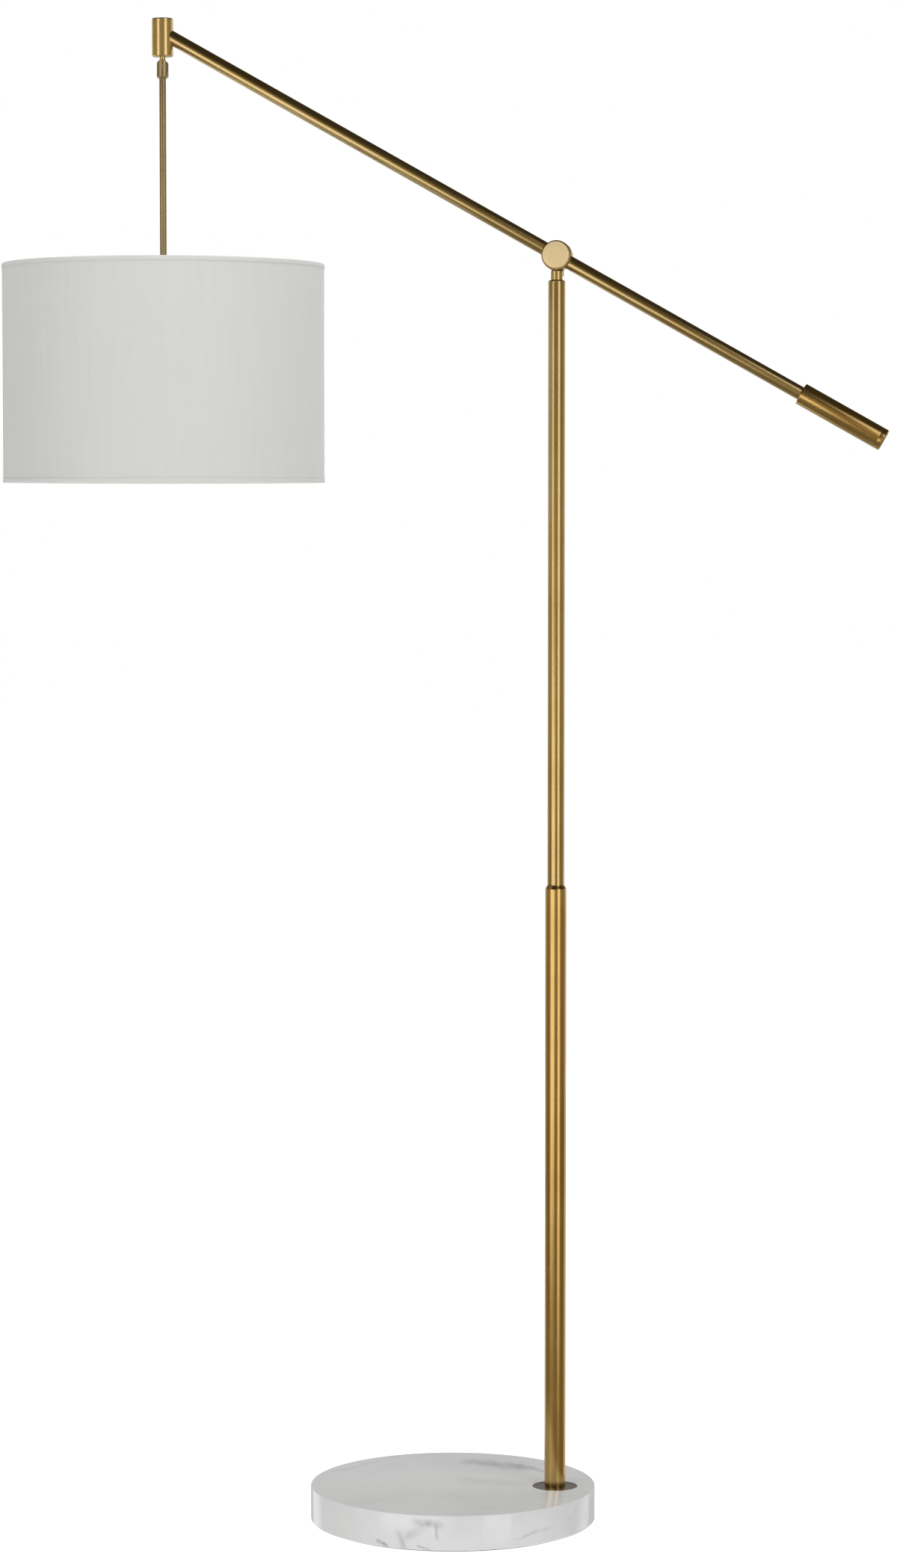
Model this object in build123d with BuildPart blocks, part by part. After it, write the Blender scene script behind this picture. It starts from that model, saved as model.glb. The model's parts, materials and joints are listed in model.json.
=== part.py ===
from build123d import *

import os
from math import cos, radians, sin

# Arc floor lamp: a marble disc, a stepped pole, a tilting boom with a counterweight at one
# end, and a drum shade that hangs from the other end on a hinged rod.
# Millimetres, +Z up. The origin is the centre of the base's underside, on the floor.
# +X runs from the shade towards the counterweight, and the boom lies in the XZ plane.

# ---- Driving dimensions ----

# Marble base
BASE_R = 169.0
BASE_TOP = 43.0
BASE_EDGE = 1.5
PAD_R = 162.0
PAD_T = 2.0
POLE_X = 122.0
WELL_R = 26.5
WELL_FLOOR = 38.0
STEM_HOLE_R = 6.0
POCKET_R = 38.0
POCKET_TOP = 23.0

# Foam, gasket, nut and washer under the pole
GASKET_T = 4.0
GASKET_GAP = 0.3
GASKET_HOLE_FIT = 0.1
NUT_ABOVE_STEM_END = 0.5
BASE_NUT_AF = 17.0
WASHER_R = 30.0
WASHER_T = 3.0

# Cord channel across the underside, and its outlet at the back
CHANNEL_W = 10.0
CHANNEL_TOP = 13.0
OUTLET_BORE_R = 3.3
OUTLET_Z = 7.5
OUTLET_INNER_Y = 94.0
OUTLET_OUTER_Y = 108.0

# Threaded stem that clamps the pole to the base
STEM_R = 5.0
STEM_BORE_R = 3.5
STEM_BOTTOM = 14.0
STEM_TOP = 54.0
NUT_H = 5.5
FOOT_STOP_T = 4.0

# Pole
LOWER_R = 12.5
LOWER_BORE = 11.0
UPPER_R = 10.0
UPPER_BORE = 8.8
SHOULDER_TOP = 760.0
SHOULDER_H = 8.0
SHOULDER_LIP = 1.5
LIP_FLARE = 0.6
LIP_STEP = 0.1
NECK_BORE = 7.0
NECK_BORE_DEEP = 14.0
BORE_CONE_DEEP = 18.0
POLE_TOP = 1468.0
BUSH_FLANGE = 3.0
BUSH_EDGE = 1.6
BUSH_BOTTOM = 1444.0

# Internal lead
LEAD_R = 2.0
LEAD_Z = 7.0
LEAD_BEND = 12.0
HEAD_BEND = 5.0

# Swivel bracket and knuckle
SPINDLE_R = 6.0
RUN = 0.05
SPINDLE_BELOW_BUSH = 8.0
RETAINING_NUT_AF = 14.6
RETAINING_GAP = 0.2
SWIVEL_WASHER_T = 0.8
NECK_R = 7.0
KNUCKLE_Z = 1497.0
BLOCK_R = 17.4
BLOCK_HALF = 10.0
BLOCK_EDGE = 0.8
FOOT_GAP = 0.8
FOOT_T = 5.0
FRICTION_T = 0.4
FRICTION_R = 15.4
CHEEK_T = 7.6
CHEEK_EDGE = 1.0
BOLT_R = 3.0
BOLT_SHORT_OF_NUT = 2.0
REAR_NUT_R = 8.5
REAR_NUT_T = 6.0
REAR_NUT_EDGE = 2.5
REAR_NUT_CROWN = 1.5
KNOB_R = 15.5
KNOB_T = 9.0
KNOB_EDGE = 1.5
KNOB_BACK_EDGE = 0.6
KNOB_WASHER_R = 12.5
KNOB_WASHER_T = 1.0

# Boom, measured along its axis from the knuckle: positive towards the shade
BOOM_ANGLE = 29.5
BOOM_R = 8.0
BOOM_BORE = 7.0
SOCKET_AT = 11.0
TUBE_FRONT_END = 526.0
HEAD_AT = 534.5
WEIGHT_AT = -327.5
WEIGHT_END = -438.5
WEIGHT_R = 13.0
WEIGHT_EDGE = 1.2
WEIGHT_CAP_T = 7.0
SEAM_EDGE = 0.3
TUBE_IN_WEIGHT = 20.0
STUD_R = 4.0

# Head at the boom's upper end
HEAD_R = 12.5
HEAD_BELOW = 28.1
HEAD_ABOVE = 16.5
HEAD_EDGE = 1.0
HEAD_CAP_T = 4.0
CAP_SPIGOT = 4.0
HEAD_CHAMBER_R = 7.5
HEAD_FLOOR_T = 9.0
SOCKET_RELIEF = 6.0
HANGER_R = 3.5
HANGER_NUT_T = 3.0
HANGER_NUT_AF = 11.0
HANGER_END = 0.5

# Hinge below the head
PIN_DROP = 11.0
PIN_R = 1.75
FORK_R = 7.0
FORK_BELOW_PIN = 14.5
FORK_EDGE = 2.0
FORK_GAP = 0.5
SLOT_W = 5.4
SLOT_BELOW_PIN = 8.0
PIN_RECESS = 0.1
TONGUE_R = 5.5
TONGUE_T = 5.0

# Drop rod, lampholder and bulb
ROD_R = 4.0
ROD_BORE = 2.8
ROD_BOTTOM = 1455.0
ROD_IN_FORK = 4.5
LOCKNUT_AF = 14.0
LOCKNUT_T = 4.0
CUP_TOP = 1466.0
CUP_R = 20.0
CUP_RIM = 1436.0
CUP_T = 1.2
HOLDER_TOP = 1452.0
HOLDER_BOTTOM = 1400.0
HOLDER_ROOF = 1444.0
HOLDER_R = 17.5
HOLDER_EDGE = 1.0
SHELL_BOTTOM = 1405.0
SHELL_LENGTH = 35.0
SHELL_R = 14.6
SHELL_T = 0.6
CONTACT_Z = 1441.0
CONTACT_L = 8.0
CONTACT_W = 5.0
CONTACT_T = 0.8
CONTACT_LEG = 1.6
CAP_R = 13.2
CAP_BOTTOM = 1413.0
CAP_BODY = 22.0
CAP_TAPER = 55.0
CAP_WALL = 0.4
CAP_RECESS = 8.0
TIP_R = 4.5
TIP_H = 3.0
TIP_PRESS = 1.0
GLASS_IN_CAP = 7.0
GLASS_FIT = 0.5
GLOBE_R = 30.0
GLOBE_Z = 1361.0
GLASS_T = 1.0

# Drum shade
SHADE_R = 190.0
SHADE_T = 1.2
SHADE_TOP = 1489.5
SHADE_BOTTOM = 1232.5
RING_WIRE_R = 1.5
RING_CLEAR = 0.1
RING_FROM_EDGE = 0.2
HUB_R = 14.0
HUB_BORE_FIT = 0.15
HUB_T = 3.0
ARM_R = HUB_T / 2
ARM_COUNT = 3

# ---- Derived places ----

BOOM_DX = -cos(radians(BOOM_ANGLE))
BOOM_DZ = sin(radians(BOOM_ANGLE))
HEAD_X = POLE_X + HEAD_AT * BOOM_DX
HEAD_MEET_Z = KNUCKLE_Z + HEAD_AT * BOOM_DZ
HEAD_BOTTOM = HEAD_MEET_Z - HEAD_BELOW
HEAD_TOP = HEAD_MEET_Z + HEAD_ABOVE
PIN_Z = HEAD_BOTTOM - PIN_DROP
FORK_BOTTOM = PIN_Z - FORK_BELOW_PIN
NECK_BOTTOM = POLE_TOP + SWIVEL_WASHER_T
FOOT_TOP = KNUCKLE_Z - BLOCK_R - FOOT_GAP
CHEEK_FRONT = BLOCK_HALF + FRICTION_T
CHEEK_BACK = CHEEK_FRONT + CHEEK_T
RING_R = SHADE_R - SHADE_T - RING_WIRE_R - RING_CLEAR

os.makedirs("parts", exist_ok=True)


def save(piece: BuildPart, label: str) -> None:
    """Label a finished piece and write it as its own STEP file."""
    piece.part.label = label
    export_step(piece.part, f"parts/{label}.step")


def level(x: float, z: float) -> Plane:
    """Horizontal plane facing up, centred on a vertical axis at x."""
    return Plane(origin=(x, 0, z), x_dir=(1, 0, 0), z_dir=(0, 0, 1))


def upright(x: float, y: float = 0, z: float = 0) -> Plane:
    """Vertical plane parallel to XZ: its X is the world's X, its Y is the world's Z."""
    return Plane(origin=(x, y, z), x_dir=(1, 0, 0), z_dir=(0, -1, 0))


def along_boom(s: float) -> Plane:
    """Plane square to the boom, s mm from the knuckle, facing the shade's end."""
    place = (POLE_X + s * BOOM_DX, 0, KNUCKLE_Z + s * BOOM_DZ)
    return Plane(origin=place, x_dir=(0, 1, 0), z_dir=(BOOM_DX, 0, BOOM_DZ))


def round_bar(plane: Plane, outer: float, length: float, bore: float = 0) -> BuildPart:
    """Round bar or tube that stands on a plane."""
    with BuildPart() as bar:
        with BuildSketch(plane):
            Circle(outer)
            if bore:
                Circle(bore, mode=Mode.SUBTRACT)
        extrude(amount=length)
    return bar


def hex_nut(plane: Plane, across_flats: float, height: float, bore: float) -> BuildPart:
    """Plain hexagon nut that stands on a plane."""
    with BuildPart() as nut:
        with BuildSketch(plane):
            RegularPolygon(across_flats / 2, 6, major_radius=False)
            Circle(bore, mode=Mode.SUBTRACT)
        extrude(amount=height)
    return nut


BOOM_AXIS = Axis((0, 0, 0), (BOOM_DX, 0, BOOM_DZ))

# ---- Base ----

with BuildPart() as marble_base:
    with BuildSketch(Plane.XY.offset(PAD_T)):
        Circle(BASE_R)
    extrude(amount=BASE_TOP - PAD_T)
    fillet(marble_base.edges().group_by(Axis.Z)[-1], BASE_EDGE)
    chamfer(marble_base.edges().group_by(Axis.Z)[0], BASE_EDGE)
    with BuildSketch(level(POLE_X, WELL_FLOOR)):
        Circle(WELL_R)
    extrude(amount=BASE_TOP - WELL_FLOOR, mode=Mode.SUBTRACT)
    with BuildSketch(level(POLE_X, PAD_T)):
        Circle(POCKET_R)
    extrude(amount=POCKET_TOP - PAD_T, mode=Mode.SUBTRACT)
    with BuildSketch(level(POLE_X, POCKET_TOP)):
        Circle(STEM_HOLE_R)
    extrude(amount=WELL_FLOOR - POCKET_TOP, mode=Mode.SUBTRACT)
    with BuildSketch(level(POLE_X, PAD_T)):
        with Locations((0, BASE_R / 2)):
            Rectangle(CHANNEL_W, BASE_R)
    extrude(amount=CHANNEL_TOP - PAD_T, mode=Mode.SUBTRACT)
save(marble_base, "marble_base")

base_pad = round_bar(Plane.XY, PAD_R, PAD_T)
save(base_pad, "base_pad")

with BuildPart() as cord_grommet:
    grommet_mid_y = (OUTLET_INNER_Y + OUTLET_OUTER_Y) / 2
    with BuildSketch(level(POLE_X, PAD_T)):
        with Locations((0, grommet_mid_y)):
            Rectangle(CHANNEL_W, OUTLET_OUTER_Y - OUTLET_INNER_Y)
    extrude(amount=CHANNEL_TOP - PAD_T)
    with BuildSketch(upright(POLE_X, OUTLET_OUTER_Y, OUTLET_Z)):
        Circle(OUTLET_BORE_R)
    extrude(amount=OUTLET_OUTER_Y - OUTLET_INNER_Y, mode=Mode.SUBTRACT)
save(cord_grommet, "cord_grommet")

TERMINAL_NEAR_Y = 18.0
TERMINAL_FAR_Y = 34.0
TERMINAL_W = 20.0
TERMINAL_TOP = 12.0
TERMINAL_EDGE = 1.5
SCREW_SPACING = 10.0
SCREW_HOLE_R = 1.6
SCREW_HOLE_DEEP = 4.0
with BuildPart() as terminal_block:
    with BuildSketch(level(POLE_X, PAD_T)):
        with Locations((0, (TERMINAL_NEAR_Y + TERMINAL_FAR_Y) / 2)):
            Rectangle(TERMINAL_W, TERMINAL_FAR_Y - TERMINAL_NEAR_Y)
    extrude(amount=TERMINAL_TOP - PAD_T)
    fillet(terminal_block.edges().filter_by(Axis.Z), TERMINAL_EDGE)
    with BuildSketch(level(POLE_X, TERMINAL_TOP)):
        with Locations((0, (TERMINAL_NEAR_Y + TERMINAL_FAR_Y) / 2)):
            with GridLocations(SCREW_SPACING, SCREW_SPACING, 2, 2):
                Circle(SCREW_HOLE_R)
    extrude(amount=-SCREW_HOLE_DEEP, mode=Mode.SUBTRACT)
save(terminal_block, "terminal_block")

NUT_Z = STEM_BOTTOM + NUT_ABOVE_STEM_END
clamp_washer = round_bar(level(POLE_X, NUT_Z + NUT_H), WASHER_R, WASHER_T, STEM_R)
save(clamp_washer, "clamp_washer")

base_nut = hex_nut(level(POLE_X, NUT_Z), BASE_NUT_AF, NUT_H, STEM_R)
save(base_nut, "base_nut")

threaded_stem = round_bar(level(POLE_X, STEM_BOTTOM), STEM_R, STEM_TOP - STEM_BOTTOM, STEM_BORE_R)
save(threaded_stem, "threaded_stem")

pole_gasket = round_bar(
    level(POLE_X, WELL_FLOOR), WELL_R - GASKET_GAP, GASKET_T, LOWER_R + GASKET_HOLE_FIT
)
save(pole_gasket, "pole_gasket")

# ---- Pole ----

with BuildPart() as pole_foot:
    with BuildSketch(level(POLE_X, WELL_FLOOR)):
        Circle(LOWER_BORE)
        Circle(STEM_R, mode=Mode.SUBTRACT)
    extrude(amount=STEM_TOP - WELL_FLOOR)
    with BuildSketch(level(POLE_X, STEM_TOP)):
        Circle(LOWER_BORE)
        Circle(STEM_BORE_R, mode=Mode.SUBTRACT)
    extrude(amount=FOOT_STOP_T)
save(pole_foot, "pole_foot")

with BuildPart() as lower_pole:
    with BuildSketch(upright(POLE_X)):
        with BuildLine():
            Polyline(
                (LOWER_BORE, WELL_FLOOR),
                (LOWER_R, WELL_FLOOR),
                (LOWER_R, SHOULDER_TOP - SHOULDER_H),
                (UPPER_R + LIP_FLARE, SHOULDER_TOP - SHOULDER_LIP),
                (UPPER_R + LIP_STEP, SHOULDER_TOP),
                (NECK_BORE, SHOULDER_TOP),
                (NECK_BORE, SHOULDER_TOP - NECK_BORE_DEEP),
                (LOWER_BORE, SHOULDER_TOP - BORE_CONE_DEEP),
                close=True,
            )
        make_face()
    revolve(axis=Axis((POLE_X, 0, 0), (0, 0, 1)))
save(lower_pole, "lower_pole")

COUPLER_BOTTOM = SHOULDER_TOP - 22.0
COUPLER_TOP = SHOULDER_TOP + 24.0
COUPLER_BORE = 4.0
with BuildPart() as pole_coupler:
    with BuildSketch(level(POLE_X, COUPLER_BOTTOM)):
        Circle(NECK_BORE)
        Circle(COUPLER_BORE, mode=Mode.SUBTRACT)
    extrude(amount=SHOULDER_TOP - COUPLER_BOTTOM)
    with BuildSketch(level(POLE_X, SHOULDER_TOP)):
        Circle(UPPER_BORE)
        Circle(COUPLER_BORE, mode=Mode.SUBTRACT)
    extrude(amount=COUPLER_TOP - SHOULDER_TOP)
save(pole_coupler, "pole_coupler")

UPPER_END = POLE_TOP - BUSH_FLANGE
upper_pole = round_bar(level(POLE_X, SHOULDER_TOP), UPPER_R, UPPER_END - SHOULDER_TOP, UPPER_BORE)
save(upper_pole, "upper_pole")

with BuildPart() as pole_top_bush:
    with BuildSketch(level(POLE_X, BUSH_BOTTOM)):
        Circle(UPPER_BORE)
    extrude(amount=UPPER_END - BUSH_BOTTOM)
    with BuildSketch(level(POLE_X, UPPER_END)):
        Circle(UPPER_R)
    extrude(amount=BUSH_FLANGE)
    fillet(pole_top_bush.edges().group_by(Axis.Z)[-1], BUSH_EDGE)
    with BuildSketch(level(POLE_X, BUSH_BOTTOM)):
        Circle(SPINDLE_R + RUN)
    extrude(amount=POLE_TOP - BUSH_BOTTOM, mode=Mode.SUBTRACT)
save(pole_top_bush, "pole_top_bush")

LEAD_POLE_END = 1434.0
with BuildPart() as lead_pole:
    with BuildLine():
        bottom_run = Line((POLE_X, TERMINAL_NEAR_Y, LEAD_Z), (POLE_X, LEAD_BEND, LEAD_Z))
        turn_up = TangentArc(
            bottom_run @ 1, (POLE_X, 0, LEAD_Z + LEAD_BEND), tangent=bottom_run % 1
        )
        Line(turn_up @ 1, (POLE_X, 0, LEAD_POLE_END))
    with BuildSketch(upright(POLE_X, TERMINAL_NEAR_Y, LEAD_Z)):
        Circle(LEAD_R)
    sweep()
save(lead_pole, "lead_pole")

# ---- Swivel: turns on the pole's top ----

swivel_washer = round_bar(level(POLE_X, POLE_TOP), NECK_R, SWIVEL_WASHER_T, SPINDLE_R)
save(swivel_washer, "swivel_washer")

SPINDLE_BOTTOM = BUSH_BOTTOM - SPINDLE_BELOW_BUSH
with BuildPart() as swivel_bracket:
    with BuildSketch(level(POLE_X, SPINDLE_BOTTOM)):
        Circle(SPINDLE_R)
    extrude(amount=NECK_BOTTOM - SPINDLE_BOTTOM)
    with BuildSketch(level(POLE_X, NECK_BOTTOM)):
        Circle(NECK_R)
    extrude(amount=FOOT_TOP - NECK_BOTTOM)
    with BuildSketch(level(POLE_X, FOOT_TOP - FOOT_T)):
        with Locations((0, CHEEK_BACK / 2)):
            Rectangle(2 * NECK_R, CHEEK_BACK)
    extrude(amount=FOOT_T)
    with BuildSketch(upright(POLE_X, CHEEK_BACK, KNUCKLE_Z)):
        Circle(BLOCK_R)
        with Locations((0, (FOOT_TOP - FOOT_T - KNUCKLE_Z) / 2)):
            Rectangle(2 * NECK_R, KNUCKLE_Z - FOOT_TOP + FOOT_T)
    extrude(amount=CHEEK_T)
    back_edges = swivel_bracket.edges().group_by(Axis.Y)[-1]
    chamfer(back_edges, CHEEK_EDGE)
    with BuildSketch(level(POLE_X, SPINDLE_BOTTOM)):
        Circle(STEM_BORE_R)
    extrude(amount=FOOT_TOP - SPINDLE_BOTTOM, mode=Mode.SUBTRACT)
    with BuildSketch(upright(POLE_X, CHEEK_BACK, KNUCKLE_Z)):
        Circle(BOLT_R + RUN)
    extrude(amount=CHEEK_T, mode=Mode.SUBTRACT)
save(swivel_bracket, "swivel_bracket")

retaining_nut = hex_nut(
    level(POLE_X, BUSH_BOTTOM - RETAINING_GAP - NUT_H), RETAINING_NUT_AF, NUT_H, SPINDLE_R
)
save(retaining_nut, "retaining_nut")

LEAD_SHORT = 1.0
lead_swivel = round_bar(
    level(POLE_X, SPINDLE_BOTTOM + LEAD_SHORT), LEAD_R, FOOT_TOP - SPINDLE_BOTTOM - 2 * LEAD_SHORT
)
save(lead_swivel, "lead_swivel")

friction_washer = round_bar(
    upright(POLE_X, CHEEK_FRONT, KNUCKLE_Z), FRICTION_R, FRICTION_T, BOLT_R + RUN
)
save(friction_washer, "friction_washer")

with BuildPart() as rear_cap_nut:
    with BuildSketch(upright(POLE_X, CHEEK_BACK, KNUCKLE_Z)):
        Circle(REAR_NUT_R)
    extrude(amount=-REAR_NUT_T)
    fillet(rear_cap_nut.edges().group_by(Axis.Y)[-1], REAR_NUT_EDGE)
    with BuildSketch(upright(POLE_X, CHEEK_BACK, KNUCKLE_Z)):
        Circle(BOLT_R + RUN)
    extrude(amount=REAR_NUT_CROWN - REAR_NUT_T, mode=Mode.SUBTRACT)
save(rear_cap_nut, "rear_cap_nut")

# ---- Boom: tilts on the knuckle bolt ----

# The lead's fan-shaped slot under the block, as angles round the knuckle axis
FAN_FROM = radians(236.0)
FAN_TO = radians(287.0)
FAN_REACH = 24.0
with BuildPart() as knuckle_block:
    with BuildSketch(upright(POLE_X, BLOCK_HALF, KNUCKLE_Z)):
        Circle(BLOCK_R)
    extrude(amount=2 * BLOCK_HALF)
    chamfer(knuckle_block.edges().filter_by(GeomType.CIRCLE), BLOCK_EDGE)
    with BuildSketch(along_boom(SOCKET_AT), along_boom(-SOCKET_AT - BLOCK_R)):
        Circle(BOOM_R)
    extrude(amount=BLOCK_R, mode=Mode.SUBTRACT)
    with BuildSketch(along_boom(-SOCKET_AT)):
        Circle(STEM_R)
    extrude(amount=2 * SOCKET_AT, mode=Mode.SUBTRACT)
    with BuildSketch(upright(POLE_X, BLOCK_HALF, KNUCKLE_Z)):
        Circle(BOLT_R + RUN)
    extrude(amount=2 * BLOCK_HALF, mode=Mode.SUBTRACT)
    with BuildSketch(upright(POLE_X, STEM_BORE_R, KNUCKLE_Z)):
        with BuildLine():
            Polyline(
                (0, 0),
                (FAN_REACH * cos(FAN_FROM), FAN_REACH * sin(FAN_FROM)),
                (FAN_REACH * cos(FAN_TO), FAN_REACH * sin(FAN_TO)),
                close=True,
            )
        make_face()
    extrude(amount=2 * STEM_BORE_R, mode=Mode.SUBTRACT)
save(knuckle_block, "knuckle_block")

INSERT_FROM = 4.5
INSERT_LENGTH = 16.0
for label, side in (("boom_insert_front", 1), ("boom_insert_rear", -1)):
    with BuildPart() as boom_insert:
        with BuildSketch(along_boom(side * INSERT_FROM)):
            Circle(STEM_R)
            Circle(STEM_BORE_R, mode=Mode.SUBTRACT)
        extrude(amount=side * (SOCKET_AT - INSERT_FROM))
        with BuildSketch(along_boom(side * SOCKET_AT)):
            Circle(BOOM_BORE)
            Circle(STEM_BORE_R, mode=Mode.SUBTRACT)
        extrude(amount=side * INSERT_LENGTH)
    save(boom_insert, label)

boom_tube_front = round_bar(
    along_boom(SOCKET_AT), BOOM_R, TUBE_FRONT_END - SOCKET_AT, BOOM_BORE
)
save(boom_tube_front, "boom_tube_front")

TUBE_REAR_END = WEIGHT_AT - TUBE_IN_WEIGHT
boom_tube_rear = round_bar(
    along_boom(TUBE_REAR_END), BOOM_R, -SOCKET_AT - TUBE_REAR_END, BOOM_BORE
)
save(boom_tube_rear, "boom_tube_rear")

PLUG_IN_TUBE = 16.0
PLUG_STUD = 18.0
with BuildPart() as tail_plug:
    with BuildSketch(along_boom(TUBE_REAR_END)):
        Circle(BOOM_BORE)
    extrude(amount=PLUG_IN_TUBE)
    with BuildSketch(along_boom(TUBE_REAR_END)):
        Circle(STUD_R)
    extrude(amount=-PLUG_STUD)
save(tail_plug, "tail_plug")

CAP_AT = WEIGHT_END + WEIGHT_CAP_T
CAP_STUD = 14.0
with BuildPart() as counterweight:
    with BuildSketch(along_boom(CAP_AT)):
        Circle(WEIGHT_R)
    extrude(amount=WEIGHT_AT - CAP_AT)
    chamfer(counterweight.edges().group_by(BOOM_AXIS)[-1], WEIGHT_EDGE)
    chamfer(counterweight.edges().group_by(BOOM_AXIS)[0], SEAM_EDGE)
    with BuildSketch(along_boom(TUBE_REAR_END)):
        Circle(BOOM_R)
    extrude(amount=TUBE_IN_WEIGHT, mode=Mode.SUBTRACT)
    with BuildSketch(along_boom(TUBE_REAR_END - PLUG_STUD)):
        Circle(STUD_R)
    extrude(amount=PLUG_STUD, mode=Mode.SUBTRACT)
    with BuildSketch(along_boom(CAP_AT)):
        Circle(STUD_R)
    extrude(amount=CAP_STUD, mode=Mode.SUBTRACT)
save(counterweight, "counterweight")

with BuildPart() as weight_cap:
    with BuildSketch(along_boom(WEIGHT_END)):
        Circle(WEIGHT_R)
    extrude(amount=WEIGHT_CAP_T)
    chamfer(weight_cap.edges().group_by(BOOM_AXIS)[0], WEIGHT_EDGE)
    chamfer(weight_cap.edges().group_by(BOOM_AXIS)[-1], SEAM_EDGE)
    with BuildSketch(along_boom(CAP_AT)):
        Circle(STUD_R)
    extrude(amount=CAP_STUD)
save(weight_cap, "weight_cap")

HEAD_CAP_Z = HEAD_TOP - HEAD_CAP_T
HEAD_FLOOR_Z = HEAD_BOTTOM + HEAD_FLOOR_T
with BuildPart() as head_body:
    with BuildSketch(level(HEAD_X, HEAD_BOTTOM)):
        Circle(HEAD_R)
    extrude(amount=HEAD_CAP_Z - HEAD_BOTTOM)
    chamfer(head_body.edges().group_by(Axis.Z)[0], HEAD_EDGE)
    with BuildSketch(along_boom(TUBE_FRONT_END - 2 * HEAD_R)):
        Circle(BOOM_R)
    extrude(amount=2 * HEAD_R + SOCKET_RELIEF, mode=Mode.SUBTRACT)
    with BuildSketch(level(HEAD_X, HEAD_FLOOR_Z)):
        Circle(HEAD_CHAMBER_R)
    extrude(amount=HEAD_CAP_Z - HEAD_FLOOR_Z, mode=Mode.SUBTRACT)
    with BuildSketch(level(HEAD_X, HEAD_BOTTOM)):
        Circle(HANGER_R)
    extrude(amount=HEAD_FLOOR_T, mode=Mode.SUBTRACT)
save(head_body, "head_body")

with BuildPart() as head_cap:
    with BuildSketch(level(HEAD_X, HEAD_CAP_Z)):
        Circle(HEAD_R)
    extrude(amount=HEAD_CAP_T)
    chamfer(head_cap.edges().group_by(Axis.Z)[-1], HEAD_EDGE)
    with BuildSketch(level(HEAD_X, HEAD_CAP_Z)):
        Circle(HEAD_CHAMBER_R)
    extrude(amount=-CAP_SPIGOT)
save(head_cap, "head_cap")

STEM_END_Z = PIN_Z + FORK_R + FORK_GAP
with BuildPart() as hanger_stud:
    with BuildSketch(level(HEAD_X, STEM_END_Z)):
        Circle(HANGER_R)
    extrude(amount=HEAD_FLOOR_Z + HANGER_NUT_T + HANGER_END - STEM_END_Z)
    with BuildSketch(upright(HEAD_X, TONGUE_T / 2, PIN_Z)):
        Circle(TONGUE_R)
        with Locations((0, (STEM_END_Z - PIN_Z) / 2)):
            Rectangle(2 * HANGER_R, STEM_END_Z - PIN_Z)
        Circle(PIN_R + RUN, mode=Mode.SUBTRACT)
    extrude(amount=TONGUE_T)
save(hanger_stud, "hanger_stud")

hanger_nut = hex_nut(level(HEAD_X, HEAD_FLOOR_Z), HANGER_NUT_AF, HANGER_NUT_T, HANGER_R)
save(hanger_nut, "hanger_nut")

LEAD_BOOM_FROM = 6.0
LEAD_BOOM_END_Z = HEAD_FLOOR_Z + HANGER_NUT_T + LEAD_SHORT
with BuildPart() as lead_boom:
    with BuildLine():
        lead_start = along_boom(LEAD_BOOM_FROM).origin
        FilletPolyline(
            lead_start,
            (HEAD_X, 0, HEAD_MEET_Z),
            (HEAD_X, 0, LEAD_BOOM_END_Z),
            radius=HEAD_BEND,
        )
    with BuildSketch(along_boom(LEAD_BOOM_FROM)):
        Circle(LEAD_R)
    sweep()
save(lead_boom, "lead_boom")

# ---- Clamp knob: its bolt is the knuckle's axle ----

KNOB_WASHER_FRONT = -BLOCK_HALF - KNOB_WASHER_T
BOLT_END_Y = CHEEK_BACK + REAR_NUT_T - BOLT_SHORT_OF_NUT
with BuildPart() as clamp_knob:
    with BuildSketch(upright(POLE_X, KNOB_WASHER_FRONT, KNUCKLE_Z)):
        Circle(KNOB_R)
    extrude(amount=KNOB_T)
    fillet(clamp_knob.edges().group_by(Axis.Y)[0], KNOB_EDGE)
    chamfer(clamp_knob.edges().group_by(Axis.Y)[-1], KNOB_BACK_EDGE)
    with BuildSketch(upright(POLE_X, BOLT_END_Y, KNUCKLE_Z)):
        Circle(BOLT_R)
    extrude(amount=BOLT_END_Y - KNOB_WASHER_FRONT)
save(clamp_knob, "clamp_knob")

knob_washer = round_bar(
    upright(POLE_X, -BLOCK_HALF, KNUCKLE_Z), KNOB_WASHER_R, KNOB_WASHER_T, BOLT_R
)
save(knob_washer, "knob_washer")

# ---- Drop: hangs from the hinge pin ----

with BuildPart() as swing_fork:
    with BuildSketch(level(HEAD_X, FORK_BOTTOM)):
        Circle(FORK_R)
    extrude(amount=PIN_Z + FORK_R - FORK_BOTTOM)
    chamfer(swing_fork.edges().group_by(Axis.Z)[0], FORK_EDGE)
    with BuildSketch(upright(HEAD_X, FORK_R, PIN_Z)):
        Circle(FORK_R)
        with Locations((0, -FORK_BELOW_PIN / 2)):
            Rectangle(2 * FORK_R, FORK_BELOW_PIN)
    extrude(amount=2 * FORK_R, mode=Mode.INTERSECT)
    with BuildSketch(level(HEAD_X, PIN_Z - SLOT_BELOW_PIN)):
        Rectangle(3 * FORK_R, SLOT_W)
    extrude(amount=SLOT_BELOW_PIN + 2 * FORK_R, mode=Mode.SUBTRACT)
    with BuildSketch(upright(HEAD_X, FORK_R, PIN_Z)):
        Circle(PIN_R)
    extrude(amount=2 * FORK_R, mode=Mode.SUBTRACT)
    with BuildSketch(level(HEAD_X, FORK_BOTTOM)):
        Circle(ROD_R)
    extrude(amount=ROD_IN_FORK, mode=Mode.SUBTRACT)
    with BuildSketch(level(HEAD_X, FORK_BOTTOM)):
        Circle(ROD_BORE)
    extrude(amount=FORK_BELOW_PIN, mode=Mode.SUBTRACT)
save(swing_fork, "swing_fork")

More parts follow.
